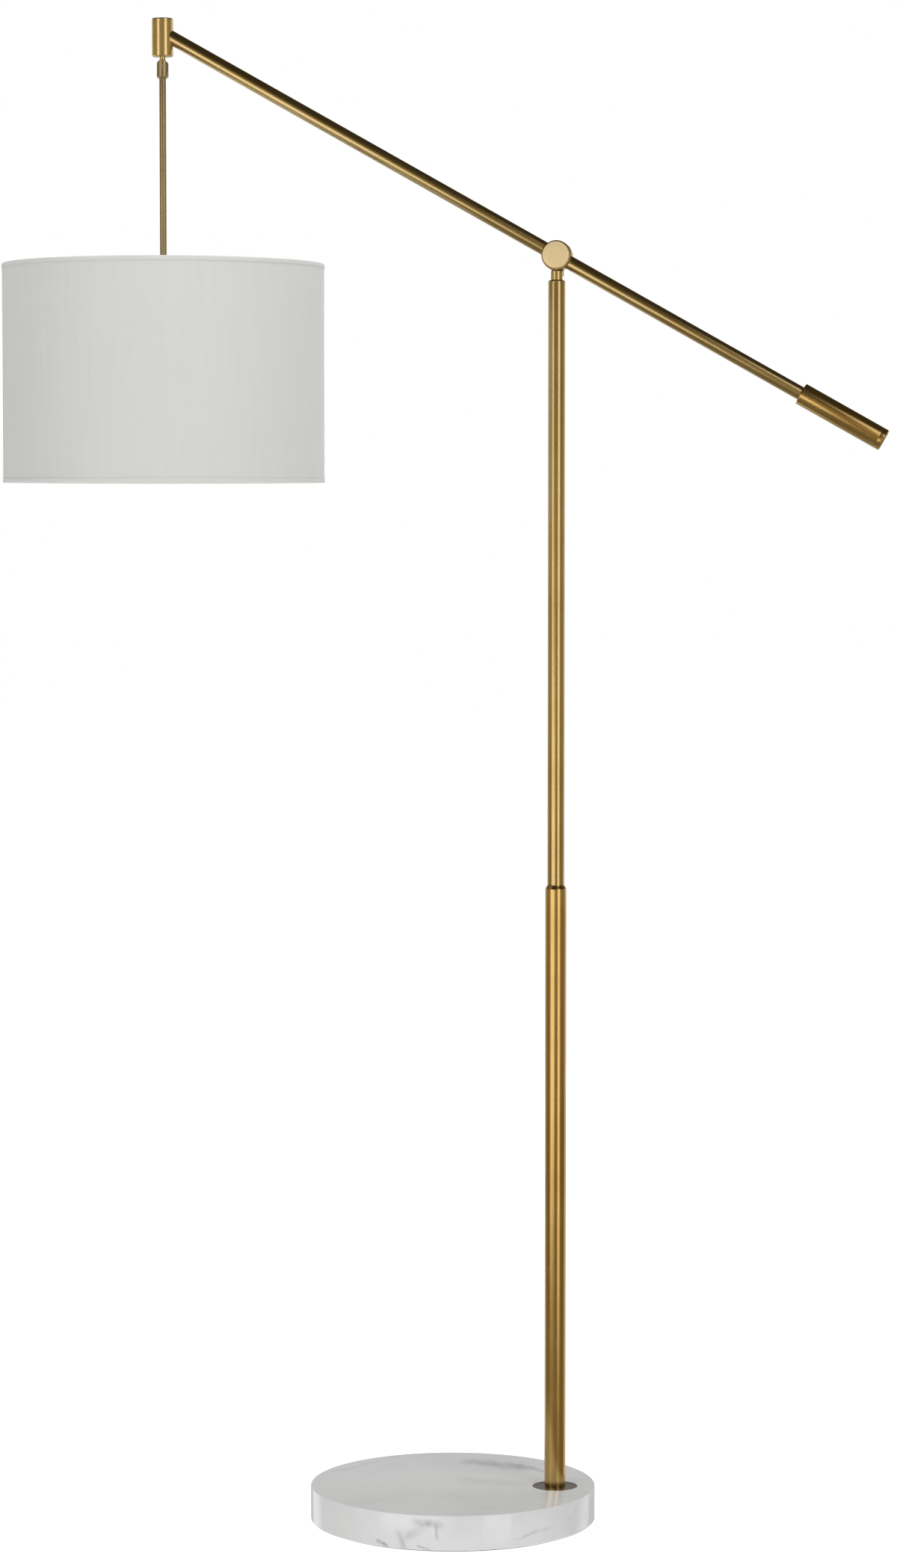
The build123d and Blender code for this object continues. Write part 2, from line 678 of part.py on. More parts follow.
PIN_HALF = FORK_R - PIN_RECESS
swing_pin = round_bar(upright(HEAD_X, PIN_HALF, PIN_Z), PIN_R, 2 * PIN_HALF)
save(swing_pin, "swing_pin")

ROD_TOP = FORK_BOTTOM + ROD_IN_FORK
drop_rod = round_bar(level(HEAD_X, ROD_BOTTOM), ROD_R, ROD_TOP - ROD_BOTTOM, ROD_BORE)
save(drop_rod, "drop_rod")

LEAD_DROP_BOTTOM = HOLDER_TOP
LEAD_DROP_TOP = PIN_Z - SLOT_BELOW_PIN
lead_drop = round_bar(level(HEAD_X, LEAD_DROP_BOTTOM), LEAD_R, LEAD_DROP_TOP - LEAD_DROP_BOTTOM)
save(lead_drop, "lead_drop")

HUB_BOTTOM = CUP_TOP
with BuildPart() as rod_locknuts:
    with BuildSketch(
        level(HEAD_X, HUB_BOTTOM + HUB_T), level(HEAD_X, CUP_TOP - CUP_T - LOCKNUT_T)
    ):
        RegularPolygon(LOCKNUT_AF / 2, 6, major_radius=False)
        Circle(ROD_R, mode=Mode.SUBTRACT)
    extrude(amount=LOCKNUT_T)
save(rod_locknuts, "rod_locknuts")

with BuildPart() as socket_cup:
    with BuildSketch(upright(HEAD_X)):
        with BuildLine():
            crown_out = Line((ROD_R, CUP_TOP), (CUP_R / 2, CUP_TOP))
            dome_out = TangentArc(
                crown_out @ 1, (CUP_R, CUP_TOP - CUP_R / 2), tangent=(1, 0)
            )
            wall_out = Line(dome_out @ 1, (CUP_R, CUP_RIM))
            rim = Line(wall_out @ 1, (CUP_R - CUP_T, CUP_RIM))
            wall_in = Line(rim @ 1, (CUP_R - CUP_T, CUP_TOP - CUP_R / 2))
            dome_in = TangentArc(
                wall_in @ 1, (CUP_R / 2, CUP_TOP - CUP_T), tangent=(0, 1)
            )
            crown_in = Line(dome_in @ 1, (ROD_R, CUP_TOP - CUP_T))
            Line(crown_in @ 1, crown_out @ 0)
        make_face()
    revolve(axis=Axis((HEAD_X, 0, 0), (0, 0, 1)))
save(socket_cup, "socket_cup")

with BuildPart() as lampholder:
    with BuildSketch(level(HEAD_X, CUP_RIM)):
        Circle(CUP_R - CUP_T)
    extrude(amount=HOLDER_TOP - CUP_RIM)
    with BuildSketch(level(HEAD_X, HOLDER_BOTTOM)):
        Circle(HOLDER_R)
    extrude(amount=CUP_RIM - HOLDER_BOTTOM)
    chamfer(lampholder.edges().group_by(Axis.Z)[0], HOLDER_EDGE)
    with BuildSketch(level(HEAD_X, HOLDER_BOTTOM)):
        Circle(SHELL_R)
    extrude(amount=HOLDER_ROOF - HOLDER_BOTTOM, mode=Mode.SUBTRACT)
save(lampholder, "lampholder")

screw_shell = round_bar(level(HEAD_X, SHELL_BOTTOM), SHELL_R, SHELL_LENGTH, SHELL_R - SHELL_T)
save(screw_shell, "screw_shell")

with BuildPart() as centre_contact:
    with BuildSketch(level(HEAD_X, CONTACT_Z)):
        Rectangle(CONTACT_L, CONTACT_W)
    extrude(amount=CONTACT_T)
    with BuildSketch(level(HEAD_X, CONTACT_Z + CONTACT_T)):
        with Locations(((CONTACT_L - CONTACT_LEG) / 2, 0)):
            Rectangle(CONTACT_LEG, CONTACT_W)
    extrude(amount=HOLDER_ROOF - CONTACT_Z - CONTACT_T)
save(centre_contact, "centre_contact")

with BuildPart() as bulb_cap:
    with BuildSketch(level(HEAD_X, CAP_BOTTOM)):
        Circle(CAP_R)
    extrude(amount=CAP_BODY)
    with BuildSketch(level(HEAD_X, CAP_BOTTOM + CAP_BODY)):
        Circle(CAP_R)
    extrude(amount=CONTACT_Z - TIP_PRESS - CAP_BOTTOM - CAP_BODY, taper=CAP_TAPER)
    with BuildSketch(level(HEAD_X, CONTACT_Z - TIP_H)):
        Circle(TIP_R)
    extrude(amount=TIP_H)
    with BuildSketch(level(HEAD_X, CAP_BOTTOM)):
        Circle(CAP_R - CAP_WALL)
    extrude(amount=CAP_RECESS, mode=Mode.SUBTRACT)
save(bulb_cap, "bulb_cap")

# The glass leaves the cap as a narrow neck and swells into a round globe
TANGENT_AT = radians(50.0)
NECK_GLASS_R = CAP_R - GLASS_FIT
NECK_GLASS_TOP = CAP_BOTTOM + GLASS_IN_CAP
NECK_GLASS_LOW = 1403.0


def bulb_outline(inset: float) -> list[Edge]:
    """Half outline of the bulb, from the neck's top down to the axis, drawn inset mm in."""
    radius = GLOBE_R - inset
    neck = NECK_GLASS_R - inset
    swell = (radius * sin(TANGENT_AT), GLOBE_Z + radius * cos(TANGENT_AT))
    neck_line = Line((neck, NECK_GLASS_TOP), (neck, NECK_GLASS_LOW))
    flare = Spline(
        neck_line @ 1,
        swell,
        tangents=((0, -1), (cos(TANGENT_AT), -sin(TANGENT_AT))),
    )
    globe = ThreePointArc(swell, (radius, GLOBE_Z), (0, GLOBE_Z - radius))
    return [neck_line, flare, globe]


with BuildPart() as bulb_glass:
    with BuildSketch(upright(HEAD_X)):
        with BuildLine():
            outside = bulb_outline(0)
            inside = bulb_outline(GLASS_T)
            Line(outside[0] @ 0, inside[0] @ 0)
            Line(outside[2] @ 1, inside[2] @ 1)
        make_face()
    revolve(axis=Axis((HEAD_X, 0, 0), (0, 0, 1)))
save(bulb_glass, "bulb_glass")

# ---- Shade ----

shade_drum = round_bar(
    level(HEAD_X, SHADE_BOTTOM), SHADE_R, SHADE_TOP - SHADE_BOTTOM, SHADE_R - SHADE_T
)
save(shade_drum, "shade_drum")

RING_INSET = RING_WIRE_R + RING_FROM_EDGE
ring_places = {
    "shade_top_ring": SHADE_TOP - RING_INSET,
    "shade_bottom_ring": SHADE_BOTTOM + RING_INSET,
}
for label, ring_z in ring_places.items():
    with BuildPart() as wire_ring:
        with BuildSketch(upright(HEAD_X)):
            with Locations((RING_R, ring_z)):
                Circle(RING_WIRE_R)
        revolve(axis=Axis((HEAD_X, 0, 0), (0, 0, 1)))
    save(wire_ring, label)

ARM_RISE = ring_places["shade_top_ring"] - HUB_BOTTOM - HUB_T / 2
ARM_ROOT = HUB_R - ARM_R
ARM_RUN = RING_R - ARM_ROOT
with BuildPart() as shade_spider:
    with BuildSketch(level(HEAD_X, HUB_BOTTOM)):
        Circle(HUB_R)
    extrude(amount=HUB_T)
    for arm in range(ARM_COUNT):
        turn = radians(90 + 360 / ARM_COUNT * arm)
        root = (HEAD_X + ARM_ROOT * cos(turn), ARM_ROOT * sin(turn), HUB_BOTTOM + HUB_T / 2)
        reach = Vector(ARM_RUN * cos(turn), ARM_RUN * sin(turn), ARM_RISE)
        with BuildSketch(Plane(origin=root, z_dir=reach)):
            Circle(ARM_R)
        extrude(amount=reach.length)
    with BuildSketch(level(HEAD_X, HUB_BOTTOM - ARM_R)):
        Circle(ROD_R + HUB_BORE_FIT)
    extrude(amount=HUB_T + 2 * ARM_R, mode=Mode.SUBTRACT)
save(shade_spider, "shade_spider")
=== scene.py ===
import json
import logging
import math
from dataclasses import dataclass, field
from enum import Enum
from typing import Mapping, Sequence, Union

import bmesh
import bpy
from mathutils import Matrix, Vector


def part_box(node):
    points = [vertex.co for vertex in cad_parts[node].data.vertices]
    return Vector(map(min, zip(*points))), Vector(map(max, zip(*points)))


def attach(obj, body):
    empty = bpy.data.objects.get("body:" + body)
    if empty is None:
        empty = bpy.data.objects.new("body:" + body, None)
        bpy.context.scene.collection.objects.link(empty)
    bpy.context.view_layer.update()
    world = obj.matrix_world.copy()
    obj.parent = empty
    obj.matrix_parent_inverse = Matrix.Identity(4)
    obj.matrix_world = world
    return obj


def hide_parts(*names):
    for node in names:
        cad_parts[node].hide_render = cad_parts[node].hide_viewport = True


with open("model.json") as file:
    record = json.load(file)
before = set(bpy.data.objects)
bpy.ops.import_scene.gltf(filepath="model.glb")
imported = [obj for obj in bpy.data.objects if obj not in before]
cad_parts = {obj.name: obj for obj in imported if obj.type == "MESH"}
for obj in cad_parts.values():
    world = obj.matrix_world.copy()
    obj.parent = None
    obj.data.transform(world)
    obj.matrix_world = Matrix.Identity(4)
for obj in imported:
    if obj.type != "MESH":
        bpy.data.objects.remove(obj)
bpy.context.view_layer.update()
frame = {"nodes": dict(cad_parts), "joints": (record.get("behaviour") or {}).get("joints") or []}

log = logging.getLogger("floor_lamp")

MM = 0.001

# Edges that turn by more degrees than this stay crisp.
SHARP = 38.0
SHARP_HEM = 50.0
SHARP_THREAD = 60.0

# Faces round a turned piece, and along an eased corner.
SIDES = 96
SIDES_THIN = 48
SIDES_THREAD = 72
EASE_STEPS = 5

# Rise over run below which a turned face counts as an end face.
FLAT_SLOPE = 0.5

# A turn, in radians, that is too slight to ease, and a length that is as good as none.
STRAIGHT = 1e-4
TINY = 1e-6

UP = Vector((0.0, 0.0, 1.0))
TO_FRONT = Vector((0.0, -1.0, 0.0))

Point = tuple[float, float, float]
Tone = tuple[float, float, float]
Settings = Mapping[str, object]


class Body(Enum):
    """The moving parts that new pieces ride on, by their names in the frame."""

    POLE = "base_and_pole"
    BOOM = "boom"
    KNOB = "knob"
    DROP = "drop"


class Slot(Enum):
    """The record's material slots that new pieces answer to."""

    MARBLE = "marble"
    ZINC = "zinc_steel"
    BRASS = "antique_brass"
    CAP = "cap_metal"
    OPAL = "opal_glass"
    FABRIC = "shade_fabric"
    WIRE = "white_wire"


class Grain(Enum):
    """Which way the polishing belt ran over a brass piece."""

    LENGTHWISE = "lengthwise"
    TURNED = "turned"


# ---- Node trees ----


class Num:
    """One number in a node tree, ready for plain arithmetic."""

    def __init__(self, bench: "Bench", socket: bpy.types.NodeSocket) -> None:
        """Wrap a socket of a tree.

        Args:
            bench: The bench whose tree the socket is in.
            socket: The output socket that holds the number.
        """
        self.bench = bench
        self.socket = socket

    def __add__(self, other: "Value") -> "Num":
        """Sum of two numbers."""
        return self.bench.maths("ADD", self, other)

    __radd__ = __add__

    def __sub__(self, other: "Value") -> "Num":
        """This number less another."""
        return self.bench.maths("SUBTRACT", self, other)

    def __rsub__(self, other: "Value") -> "Num":
        """Another number less this one."""
        return self.bench.maths("SUBTRACT", other, self)

    def __mul__(self, other: "Value") -> "Num":
        """Product of two numbers."""
        return self.bench.maths("MULTIPLY", self, other)

    __rmul__ = __mul__

    def __truediv__(self, other: "Value") -> "Num":
        """This number divided by another."""
        return self.bench.maths("DIVIDE", self, other)

    def __rtruediv__(self, other: "Value") -> "Num":
        """Another number divided by this one."""
        return self.bench.maths("DIVIDE", other, self)

    def __pow__(self, other: "Value") -> "Num":
        """This number to a power."""
        return self.bench.maths("POWER", self, other)

    def __abs__(self) -> "Num":
        """This number without its sign."""
        return self.bench.maths("ABSOLUTE", self)

    def __mod__(self, other: "Value") -> "Num":
        """What is left of this number after whole steps of another."""
        return self.bench.maths("FLOORED_MODULO", self, other)


Value = Union[Num, bpy.types.NodeSocket, float, int, Sequence[float]]


class Bench:
    """A place to build the nodes of one tree, for a material or for geometry."""

    def __init__(self, tree: bpy.types.NodeTree) -> None:
        """Start work on a tree.

        Args:
            tree: The node tree that new nodes go into.
        """
        self.tree = tree

    def node(
        self,
        kind: str,
        settings: Settings | None = None,
        inputs: Mapping[int | str, object] | None = None,
    ) -> bpy.types.Node:
        """Add a node, set it up, then feed its sockets.

        Args:
            kind: The node's type name.
            settings: Properties of the node, and "stops" for a ramp's stops.
            inputs: Numbers, colours or links, by socket name or number.

        Returns:
            The new node.
        """
        made = self.tree.nodes.new(kind)
        for key, value in (settings or {}).items():
            if key == "stops":
                self._set_stops(made, value)
            else:
                setattr(made, key, value)
        for key, value in (inputs or {}).items():
            self.feed(made.inputs[key], value)
        return made

    @staticmethod
    def _set_stops(ramp: bpy.types.Node, stops: Sequence[tuple[float, Tone]]) -> None:
        """Give a colour ramp its stops.

        Args:
            ramp: The ramp's node.
            stops: Place and colour of each stop, in order, two or more.
        """
        elements = ramp.color_ramp.elements
        while len(elements) < len(stops):
            elements.new(0.5)
        for element, (place, tone) in zip(elements, stops):
            element.position = place
            element.color = (*tone, 1.0)

    def feed(self, socket: bpy.types.NodeSocket, value: object) -> None:
        """Put a number or a link into an input socket.

        Args:
            socket: The input socket.
            value: A number, a colour, a vector, a socket or a Num.
        """
        if isinstance(value, Num):
            value = value.socket
        if isinstance(value, bpy.types.NodeSocket):
            self.tree.links.new(value, socket)
        else:
            socket.default_value = value

    def num(self, node: bpy.types.Node, output: int | str = 0) -> Num:
        """One output of a node as a number."""
        return Num(self, node.outputs[output])

    def maths(self, operation: str, *values: Value) -> Num:
        """Work out one step of arithmetic.

        Args:
            operation: The Math node's operation.
            *values: One, two or three operands.

        Returns:
            The result.
        """
        settings = {"operation": operation}
        return self.num(self.node("ShaderNodeMath", settings, dict(enumerate(values))))

    def clamp(self, value: Value) -> Num:
        """A number kept between 0 and 1."""
        return self.maths("MINIMUM", self.maths("MAXIMUM", value, 0.0), 1.0)

    def step(self, value: Value, low: Value, high: Value) -> Num:
        """Smooth rise from 0 to 1.

        Args:
            value: The number that is looked at.
            low: Where the rise starts.
            high: Where it ends.

        Returns:
            0 below low, 1 above high, and a smooth curve between.
        """
        settings = {"interpolation_type": "SMOOTHSTEP"}
        return self.num(self.node("ShaderNodeMapRange", settings, {0: value, 1: low, 2: high}))

    def blend(self, factor: Value, first: Num, second: Num) -> Num:
        """A number that moves from first to second as factor goes from 0 to 1."""
        return first + (second - first) * factor

    def mix(self, factor: Value, first: Value, second: Value) -> bpy.types.NodeSocket:
        """Mix two colours.

        Args:
            factor: How much of the second colour there is.
            first: The first colour.
            second: The second colour.

        Returns:
            The mixed colour's socket.
        """
        settings = {"data_type": "RGBA", "clamp_factor": True}
        colours = [
            (*c, 1.0) if isinstance(c, (tuple, list)) and len(c) == 3 else c
            for c in (first, second)
        ]
        inputs = {0: factor, 6: colours[0], 7: colours[1]}
        return self.node("ShaderNodeMix", settings, inputs).outputs[2]

    def vmath(self, operation: str, *values: Value) -> bpy.types.Node:
        """A Vector Math node on up to three vectors.

        Args:
            operation: The node's operation.
            *values: Its operands, in the order of its sockets.

        Returns:
            The node, because some operations give a vector and some a number.
        """
        settings = {"operation": operation}
        return self.node("ShaderNodeVectorMath", settings, dict(enumerate(values)))

    def scaled(self, vector: Value, size: float) -> bpy.types.NodeSocket:
        """A vector made longer or shorter."""
        return self.vmath("MULTIPLY", vector, (size, size, size)).outputs[0]

    def vector(self, x: Value, y: Value, z: Value) -> bpy.types.NodeSocket:
        """A vector put together from three numbers."""
        return self.node("ShaderNodeCombineXYZ", None, {0: x, 1: y, 2: z}).outputs[0]

    def parts(self, vector: Value) -> tuple[Num, Num, Num]:
        """The three numbers of a vector."""
        split = self.node("ShaderNodeSeparateXYZ", None, {0: vector})
        return self.num(split, 0), self.num(split, 1), self.num(split, 2)

    def noise(
        self, vector: Value, scale: float, detail: float = 3.0, rough: float = 0.5
    ) -> bpy.types.Node:
        """A noise pattern.

        Args:
            vector: Where the pattern is read.
            scale: Blots for each unit of length.
            detail: How many finer layers it has.
            rough: How strong the finer layers are.

        Returns:
            The node: its first output is a number, its second a colour.
        """
        inputs = {"Vector": vector, "Scale": scale, "Detail": detail, "Roughness": rough}
        return self.node("ShaderNodeTexNoise", None, inputs)


class Finish:
    """A surface finish, made once as a material and put on any number of pieces."""

    name: str

    def paint(self, bench: Bench, skin: bpy.types.Node) -> None:
        """Build the nodes that feed the surface shader.

        Args:
            bench: The material's bench.
            skin: The surface shader's node.
        """
        raise NotImplementedError

    def material(self) -> bpy.types.Material:
        """The finish's material, made on first use.

        Returns:
            The material.
        """
        found = bpy.data.materials.get(self.name)
        if found:
            return found
        made = bpy.data.materials.new(self.name)
        made.use_nodes = True
        made.node_tree.nodes.clear()
        bench = Bench(made.node_tree)
        skin = bench.node("ShaderNodeBsdfPrincipled")
        bench.node("ShaderNodeOutputMaterial", None, {"Surface": skin.outputs[0]})
        self.paint(bench, skin)
        return made

    @staticmethod
    def place(bench: Bench) -> bpy.types.NodeSocket:
        """The point on the object, in metres."""
        return bench.node("ShaderNodeTexCoord").outputs["Object"]

    @staticmethod
    def attribute(bench: Bench, name: str) -> Num:
        """A number stored on the mesh, or 0 where there is none."""
        return bench.num(bench.node("ShaderNodeAttribute", {"attribute_name": name}), "Fac")

    @staticmethod
    def bump(bench: Bench, height: Value, deep: float, strength: float) -> bpy.types.NodeSocket:
        """A bump on the surface.

        Args:
            bench: The material's bench.
            height: The bump's height, from 0 to 1.
            deep: What a height of 1 is, in metres.
            strength: How much of it is used.

        Returns:
            The bumped normal.
        """
        inputs = {"Height": height, "Distance": deep, "Strength": strength}
        return bench.node("ShaderNodeBump", None, inputs).outputs[0]


# ---- Finishes ----


@dataclass(frozen=True)
class BrushedBrass(Finish):
    """Brushed antique brass under a thin clear lacquer."""

    name: str
    grain: Grain
    origin: Point
    along: Point
    bright: Tone = (0.620, 0.480, 0.240)
    brown: Tone = (0.430, 0.300, 0.115)
    rubbed: Tone = (0.760, 0.590, 0.310)
    gloss: float = 0.25
    gloss_spread: float = 0.03
    metal: float = 1.0
    streaks_per_m: float = 2600.0
    streak_ends_per_m: float = 22.0
    clouds_per_m: float = 16.0
    haze_per_m: float = 70.0
    streak_tone: float = 0.20
    rub_tone: float = 0.14
    rub_gloss: float = 0.04
    haze_gloss: float = 0.06
    lacquer: float = 0.12
    lacquer_gloss: float = 0.16

    def paint(self, bench: Bench, skin: bpy.types.Node) -> None:
        """Fine streaks, soft brown clouds and edges rubbed a little brighter."""
        turn = UP.rotation_difference(Vector(self.along)).to_euler()
        local = bench.node(
            "ShaderNodeMapping",
            {"vector_type": "TEXTURE"},
            {"Vector": self.place(bench), "Location": self.origin, "Rotation": tuple(turn)},
        ).outputs[0]
        x, y, z = bench.parts(local)
        reach = (x * x + y * y) ** 0.5
        fine, slow = self.streaks_per_m, self.streak_ends_per_m
        rings = bench.num(bench.noise(bench.vector(reach * fine, z * fine, 0.0), 1.0, 4.0, 0.6))
        streak = rings
        if self.grain is Grain.LENGTHWISE:
            lines = bench.vector(x * fine, y * fine, z * slow)
            along = bench.num(bench.noise(lines, 1.0, 4.0, 0.6))
            streak = bench.blend(self.attribute(bench, "end_face"), along, rings)
        cloud = bench.num(bench.noise(local, self.clouds_per_m, detail=4.0, rough=0.55))
        haze = bench.num(bench.noise(local, self.haze_per_m))
        rub = self.attribute(bench, "rub")
        shade = bench.clamp((streak - 0.5) * self.streak_tone + cloud)
        tone = bench.mix(shade, self.brown, self.bright)
        tone = bench.mix(rub * self.rub_tone, tone, self.rubbed)
        bench.feed(skin.inputs["Base Color"], tone)
        rough = (streak - 0.5) * self.gloss_spread + (haze - 0.5) * self.haze_gloss + self.gloss
        bench.feed(skin.inputs["Roughness"], bench.clamp(rough - rub * self.rub_gloss))
        bump = self.bump(bench, streak, deep=0.00001, strength=0.10)
        bench.feed(skin.inputs["Normal"], bump)
        bench.feed(skin.inputs["Metallic"], self.metal)
        bench.feed(skin.inputs["Coat Weight"], self.lacquer)
        bench.feed(skin.inputs["Coat Roughness"], self.lacquer_gloss)


@dataclass(frozen=True)
class Vein:
    """One vein: a wavy plane through the stone, seen for a short way round a point."""

    through: Point
    across: Point
    width: float
    reach: float
    depth: float
    wander: float = 0.008
    full_to: float = 0.45

    def mask(
        self, bench: Bench, place: bpy.types.NodeSocket, drift: bpy.types.NodeSocket
    ) -> Num:
        """How much of the vein shows at a point.

        Args:
            bench: The material's bench.
            place: The point on the stone.
            drift: A slowly changing direction that bends the plane.

        Returns:
            0 away from the vein, up to its depth on its line.
        """
        here = bench.vmath("ADD", place, bench.scaled(drift, self.wander)).outputs[0]
        away = bench.vmath("SUBTRACT", here, self.through).outputs[0]
        normal = tuple(Vector(self.across).normalized())
        gap = abs(Num(bench, bench.vmath("DOT_PRODUCT", away, normal).outputs["Value"]))
        near = Num(bench, bench.vmath("LENGTH", away).outputs["Value"])
        line = 1.0 - bench.step(gap, 0.0, self.width)
        full = self.reach * self.full_to
        return line * (1.0 - bench.step(near, full, self.reach)) * self.depth


@dataclass(frozen=True)
class PolishedMarble(Finish):
    """Polished white marble with soft grey clouds and a few short veins."""

    name: str
    veins: tuple[Vein, ...]
    white: Tone = (0.665, 0.668, 0.664)
    cloudy: Tone = (0.560, 0.566, 0.568)
    grey: Tone = (0.205, 0.208, 0.215)
    gloss: float = 0.10
    clouds_per_m: float = 8.0
    wisps_per_m: float = 13.0
    wisp_width: float = 0.035
    bends_per_m: float = 34.0
    breaks_per_m: float = 95.0
    flecks_per_m: float = 420.0

    def paint(self, bench: Bench, skin: bpy.types.Node) -> None:
        """Soft clouds and wisps, crystal sparkle, then the veins over them."""
        place = self.place(bench)
        cloud = bench.num(bench.noise(place, self.clouds_per_m, detail=5.0, rough=0.55))
        fleck = bench.num(bench.noise(place, self.flecks_per_m, detail=2.0))
        colour = bench.noise(place, self.bends_per_m, detail=5.0, rough=0.62).outputs[1]
        drift = bench.vmath("SUBTRACT", colour, (0.5, 0.5, 0.5)).outputs[0]
        drift = bench.scaled(drift, 2.0)
        broken = bench.num(bench.noise(place, self.breaks_per_m, detail=4.0, rough=0.6))
        ink = 0.0
        for vein in self.veins:
            ink = vein.mask(bench, place, drift) + ink
        ink = bench.clamp(ink * (bench.step(broken, 0.30, 0.60) * 0.6 + 0.4))
        wisp = abs(bench.num(bench.noise(place, self.wisps_per_m, detail=6.0, rough=0.65)) - 0.5)
        wisp = (1.0 - bench.step(wisp, 0.0, self.wisp_width)) * bench.step(cloud, 0.52, 0.72)
        tone = bench.mix(bench.step(cloud, 0.40, 0.75) * 0.65, self.white, self.cloudy)
        tone = bench.mix((fleck - 0.5) * 0.10 + 0.03, tone, self.cloudy)
        tone = bench.mix(bench.clamp(wisp * 0.10 + ink), tone, self.grey)
        bench.feed(skin.inputs["Base Color"], tone)
        bench.feed(skin.inputs["Roughness"], (fleck - 0.5) * 0.05 + ink * 0.10 + self.gloss)
        bench.feed(skin.inputs["Normal"], self.bump(bench, fleck, deep=0.00001, strength=0.15))
        bench.feed(skin.inputs["IOR"], 1.48)


@dataclass(frozen=True)
class Linen(Finish):
    """Plain-woven linen, with thicker threads here and there, mostly upright."""

    name: str
    thread: Tone = (0.598, 0.603, 0.575)
    # The tone between threads is darker: painted shade in the dips of the weave.
    gap: Tone = (0.440, 0.444, 0.424)
    pitch: float = 0.00085
    round_over: float = 0.45
    slub_depth: float = 0.5
    slubs_per_m: float = 850.0
    slub_ends_per_m: float = 9.0
    weft_slubs_per_m: float = 900.0
    weft_slub_ends_per_m: float = 11.0
    bars_per_m: float = 160.0
    bar_ends_per_m: float = 3.0
    fuzz: float = 0.25
    fuzz_gloss: float = 0.6

    def paint(self, bench: Bench, skin: bpy.types.Node) -> None:
        """Threads that pass over and under each other, from the cloth's own UV in metres."""
        u, v, _ = bench.parts(bench.node("ShaderNodeUVMap", {"uv_map": "UVMap"}).outputs[0])
        across, up = u / self.pitch, v / self.pitch
        turn = bench.maths("FLOOR", across) + bench.maths("FLOOR", up)
        over = turn % 2.0
        warp = bench.maths("SINE", (across % 1.0) * math.pi)
        weft = bench.maths("SINE", (up % 1.0) * math.pi)
        above = warp * (weft * self.round_over + (1.0 - self.round_over))
        below = weft * (warp * self.round_over + (1.0 - self.round_over))
        weave = bench.blend(over, above, below)
        slubs = bench.vector(u * self.slubs_per_m, v * self.slub_ends_per_m, 0.0)
        upright = bench.num(bench.noise(slubs, 1.0, rough=0.6))
        slubs = bench.vector(u * self.weft_slub_ends_per_m, v * self.weft_slubs_per_m, 7.0)
        level = bench.num(bench.noise(slubs, 1.0, rough=0.6))
        bars = bench.vector(u * self.bars_per_m, v * self.bar_ends_per_m, 3.0)
        broad = bench.num(bench.noise(bars, 1.0, detail=2.0))
        slub = (upright - 0.5) * 0.62 + (level - 0.5) * 0.38
        # Lower in the weave the tone goes towards the darker gap tone: painted shade between
        # threads. The slubs and bars are the cloth's own.
        tone = bench.clamp(weave * 0.45 + slub * self.slub_depth + (broad - 0.5) * 0.15 + 0.42)
        bench.feed(skin.inputs["Base Color"], bench.mix(tone, self.gap, self.thread))
        bench.feed(skin.inputs["Roughness"], bench.clamp(weave * -0.08 + 0.94))
        height = weave * 0.6 + slub + 0.4
        bench.feed(skin.inputs["Normal"], self.bump(bench, height, deep=0.00018, strength=0.55))
        bench.feed(skin.inputs["Sheen Weight"], self.fuzz)
        bench.feed(skin.inputs["Sheen Roughness"], self.fuzz_gloss)


@dataclass(frozen=True)
class PlatedMetal(Finish):
    """Plain plated or rolled metal: zinc-plated steel, or bare aluminium."""

    name: str
    bright: Tone
    dull: Tone
    gloss: float = 0.32
    blooms_per_m: float = 260.0
    scratches_per_m: float = 900.0
    scratch_ends_per_m: float = 60.0

    def paint(self, bench: Bench, skin: bpy.types.Node) -> None:
        """Crystal bloom and fine scratches."""
        place = self.place(bench)
        bloom = bench.num(bench.noise(place, self.blooms_per_m, rough=0.55))
        x, y, z = bench.parts(place)
        fine, slow = self.scratches_per_m, self.scratch_ends_per_m
        lines = bench.num(bench.noise(bench.vector(x * fine, y * fine, z * slow), 1.0))
        tone = bench.clamp(bloom * 0.6 + lines * 0.4)
        bench.feed(skin.inputs["Base Color"], bench.mix(tone, self.dull, self.bright))
        bench.feed(skin.inputs["Roughness"], (bloom - 0.5) * 0.16 + self.gloss)
        bench.feed(skin.inputs["Normal"], self.bump(bench, lines, deep=0.00003, strength=0.25))
        bench.feed(skin.inputs["Metallic"], 1.0)


@dataclass(frozen=True)
class Moulded(Finish):
    """Moulded plastic or rubber with a fine spark texture."""

    name: str
    tone: Tone
    worn: Tone
    gloss: float = 0.5
    texture: float = 0.3
    grains_per_m: float = 1700.0
    marks_per_m: float = 55.0

    def paint(self, bench: Bench, skin: bpy.types.Node) -> None:
        """A fine sparkle in the bump, and faint handling marks."""
        place = self.place(bench)
        spark = bench.num(bench.noise(place, self.grains_per_m, detail=2.0, rough=0.6))
        handled = bench.num(bench.noise(place, self.marks_per_m, detail=4.0, rough=0.6))
        tone = bench.mix(bench.step(handled, 0.45, 0.80) * 0.5, self.tone, self.worn)
        bench.feed(skin.inputs["Base Color"], tone)
        rough = (handled - 0.5) * 0.12 + (spark - 0.5) * 0.06 + self.gloss
        bench.feed(skin.inputs["Roughness"], rough)
        bump = self.bump(bench, spark, deep=0.00008, strength=self.texture)
        bench.feed(skin.inputs["Normal"], bump)


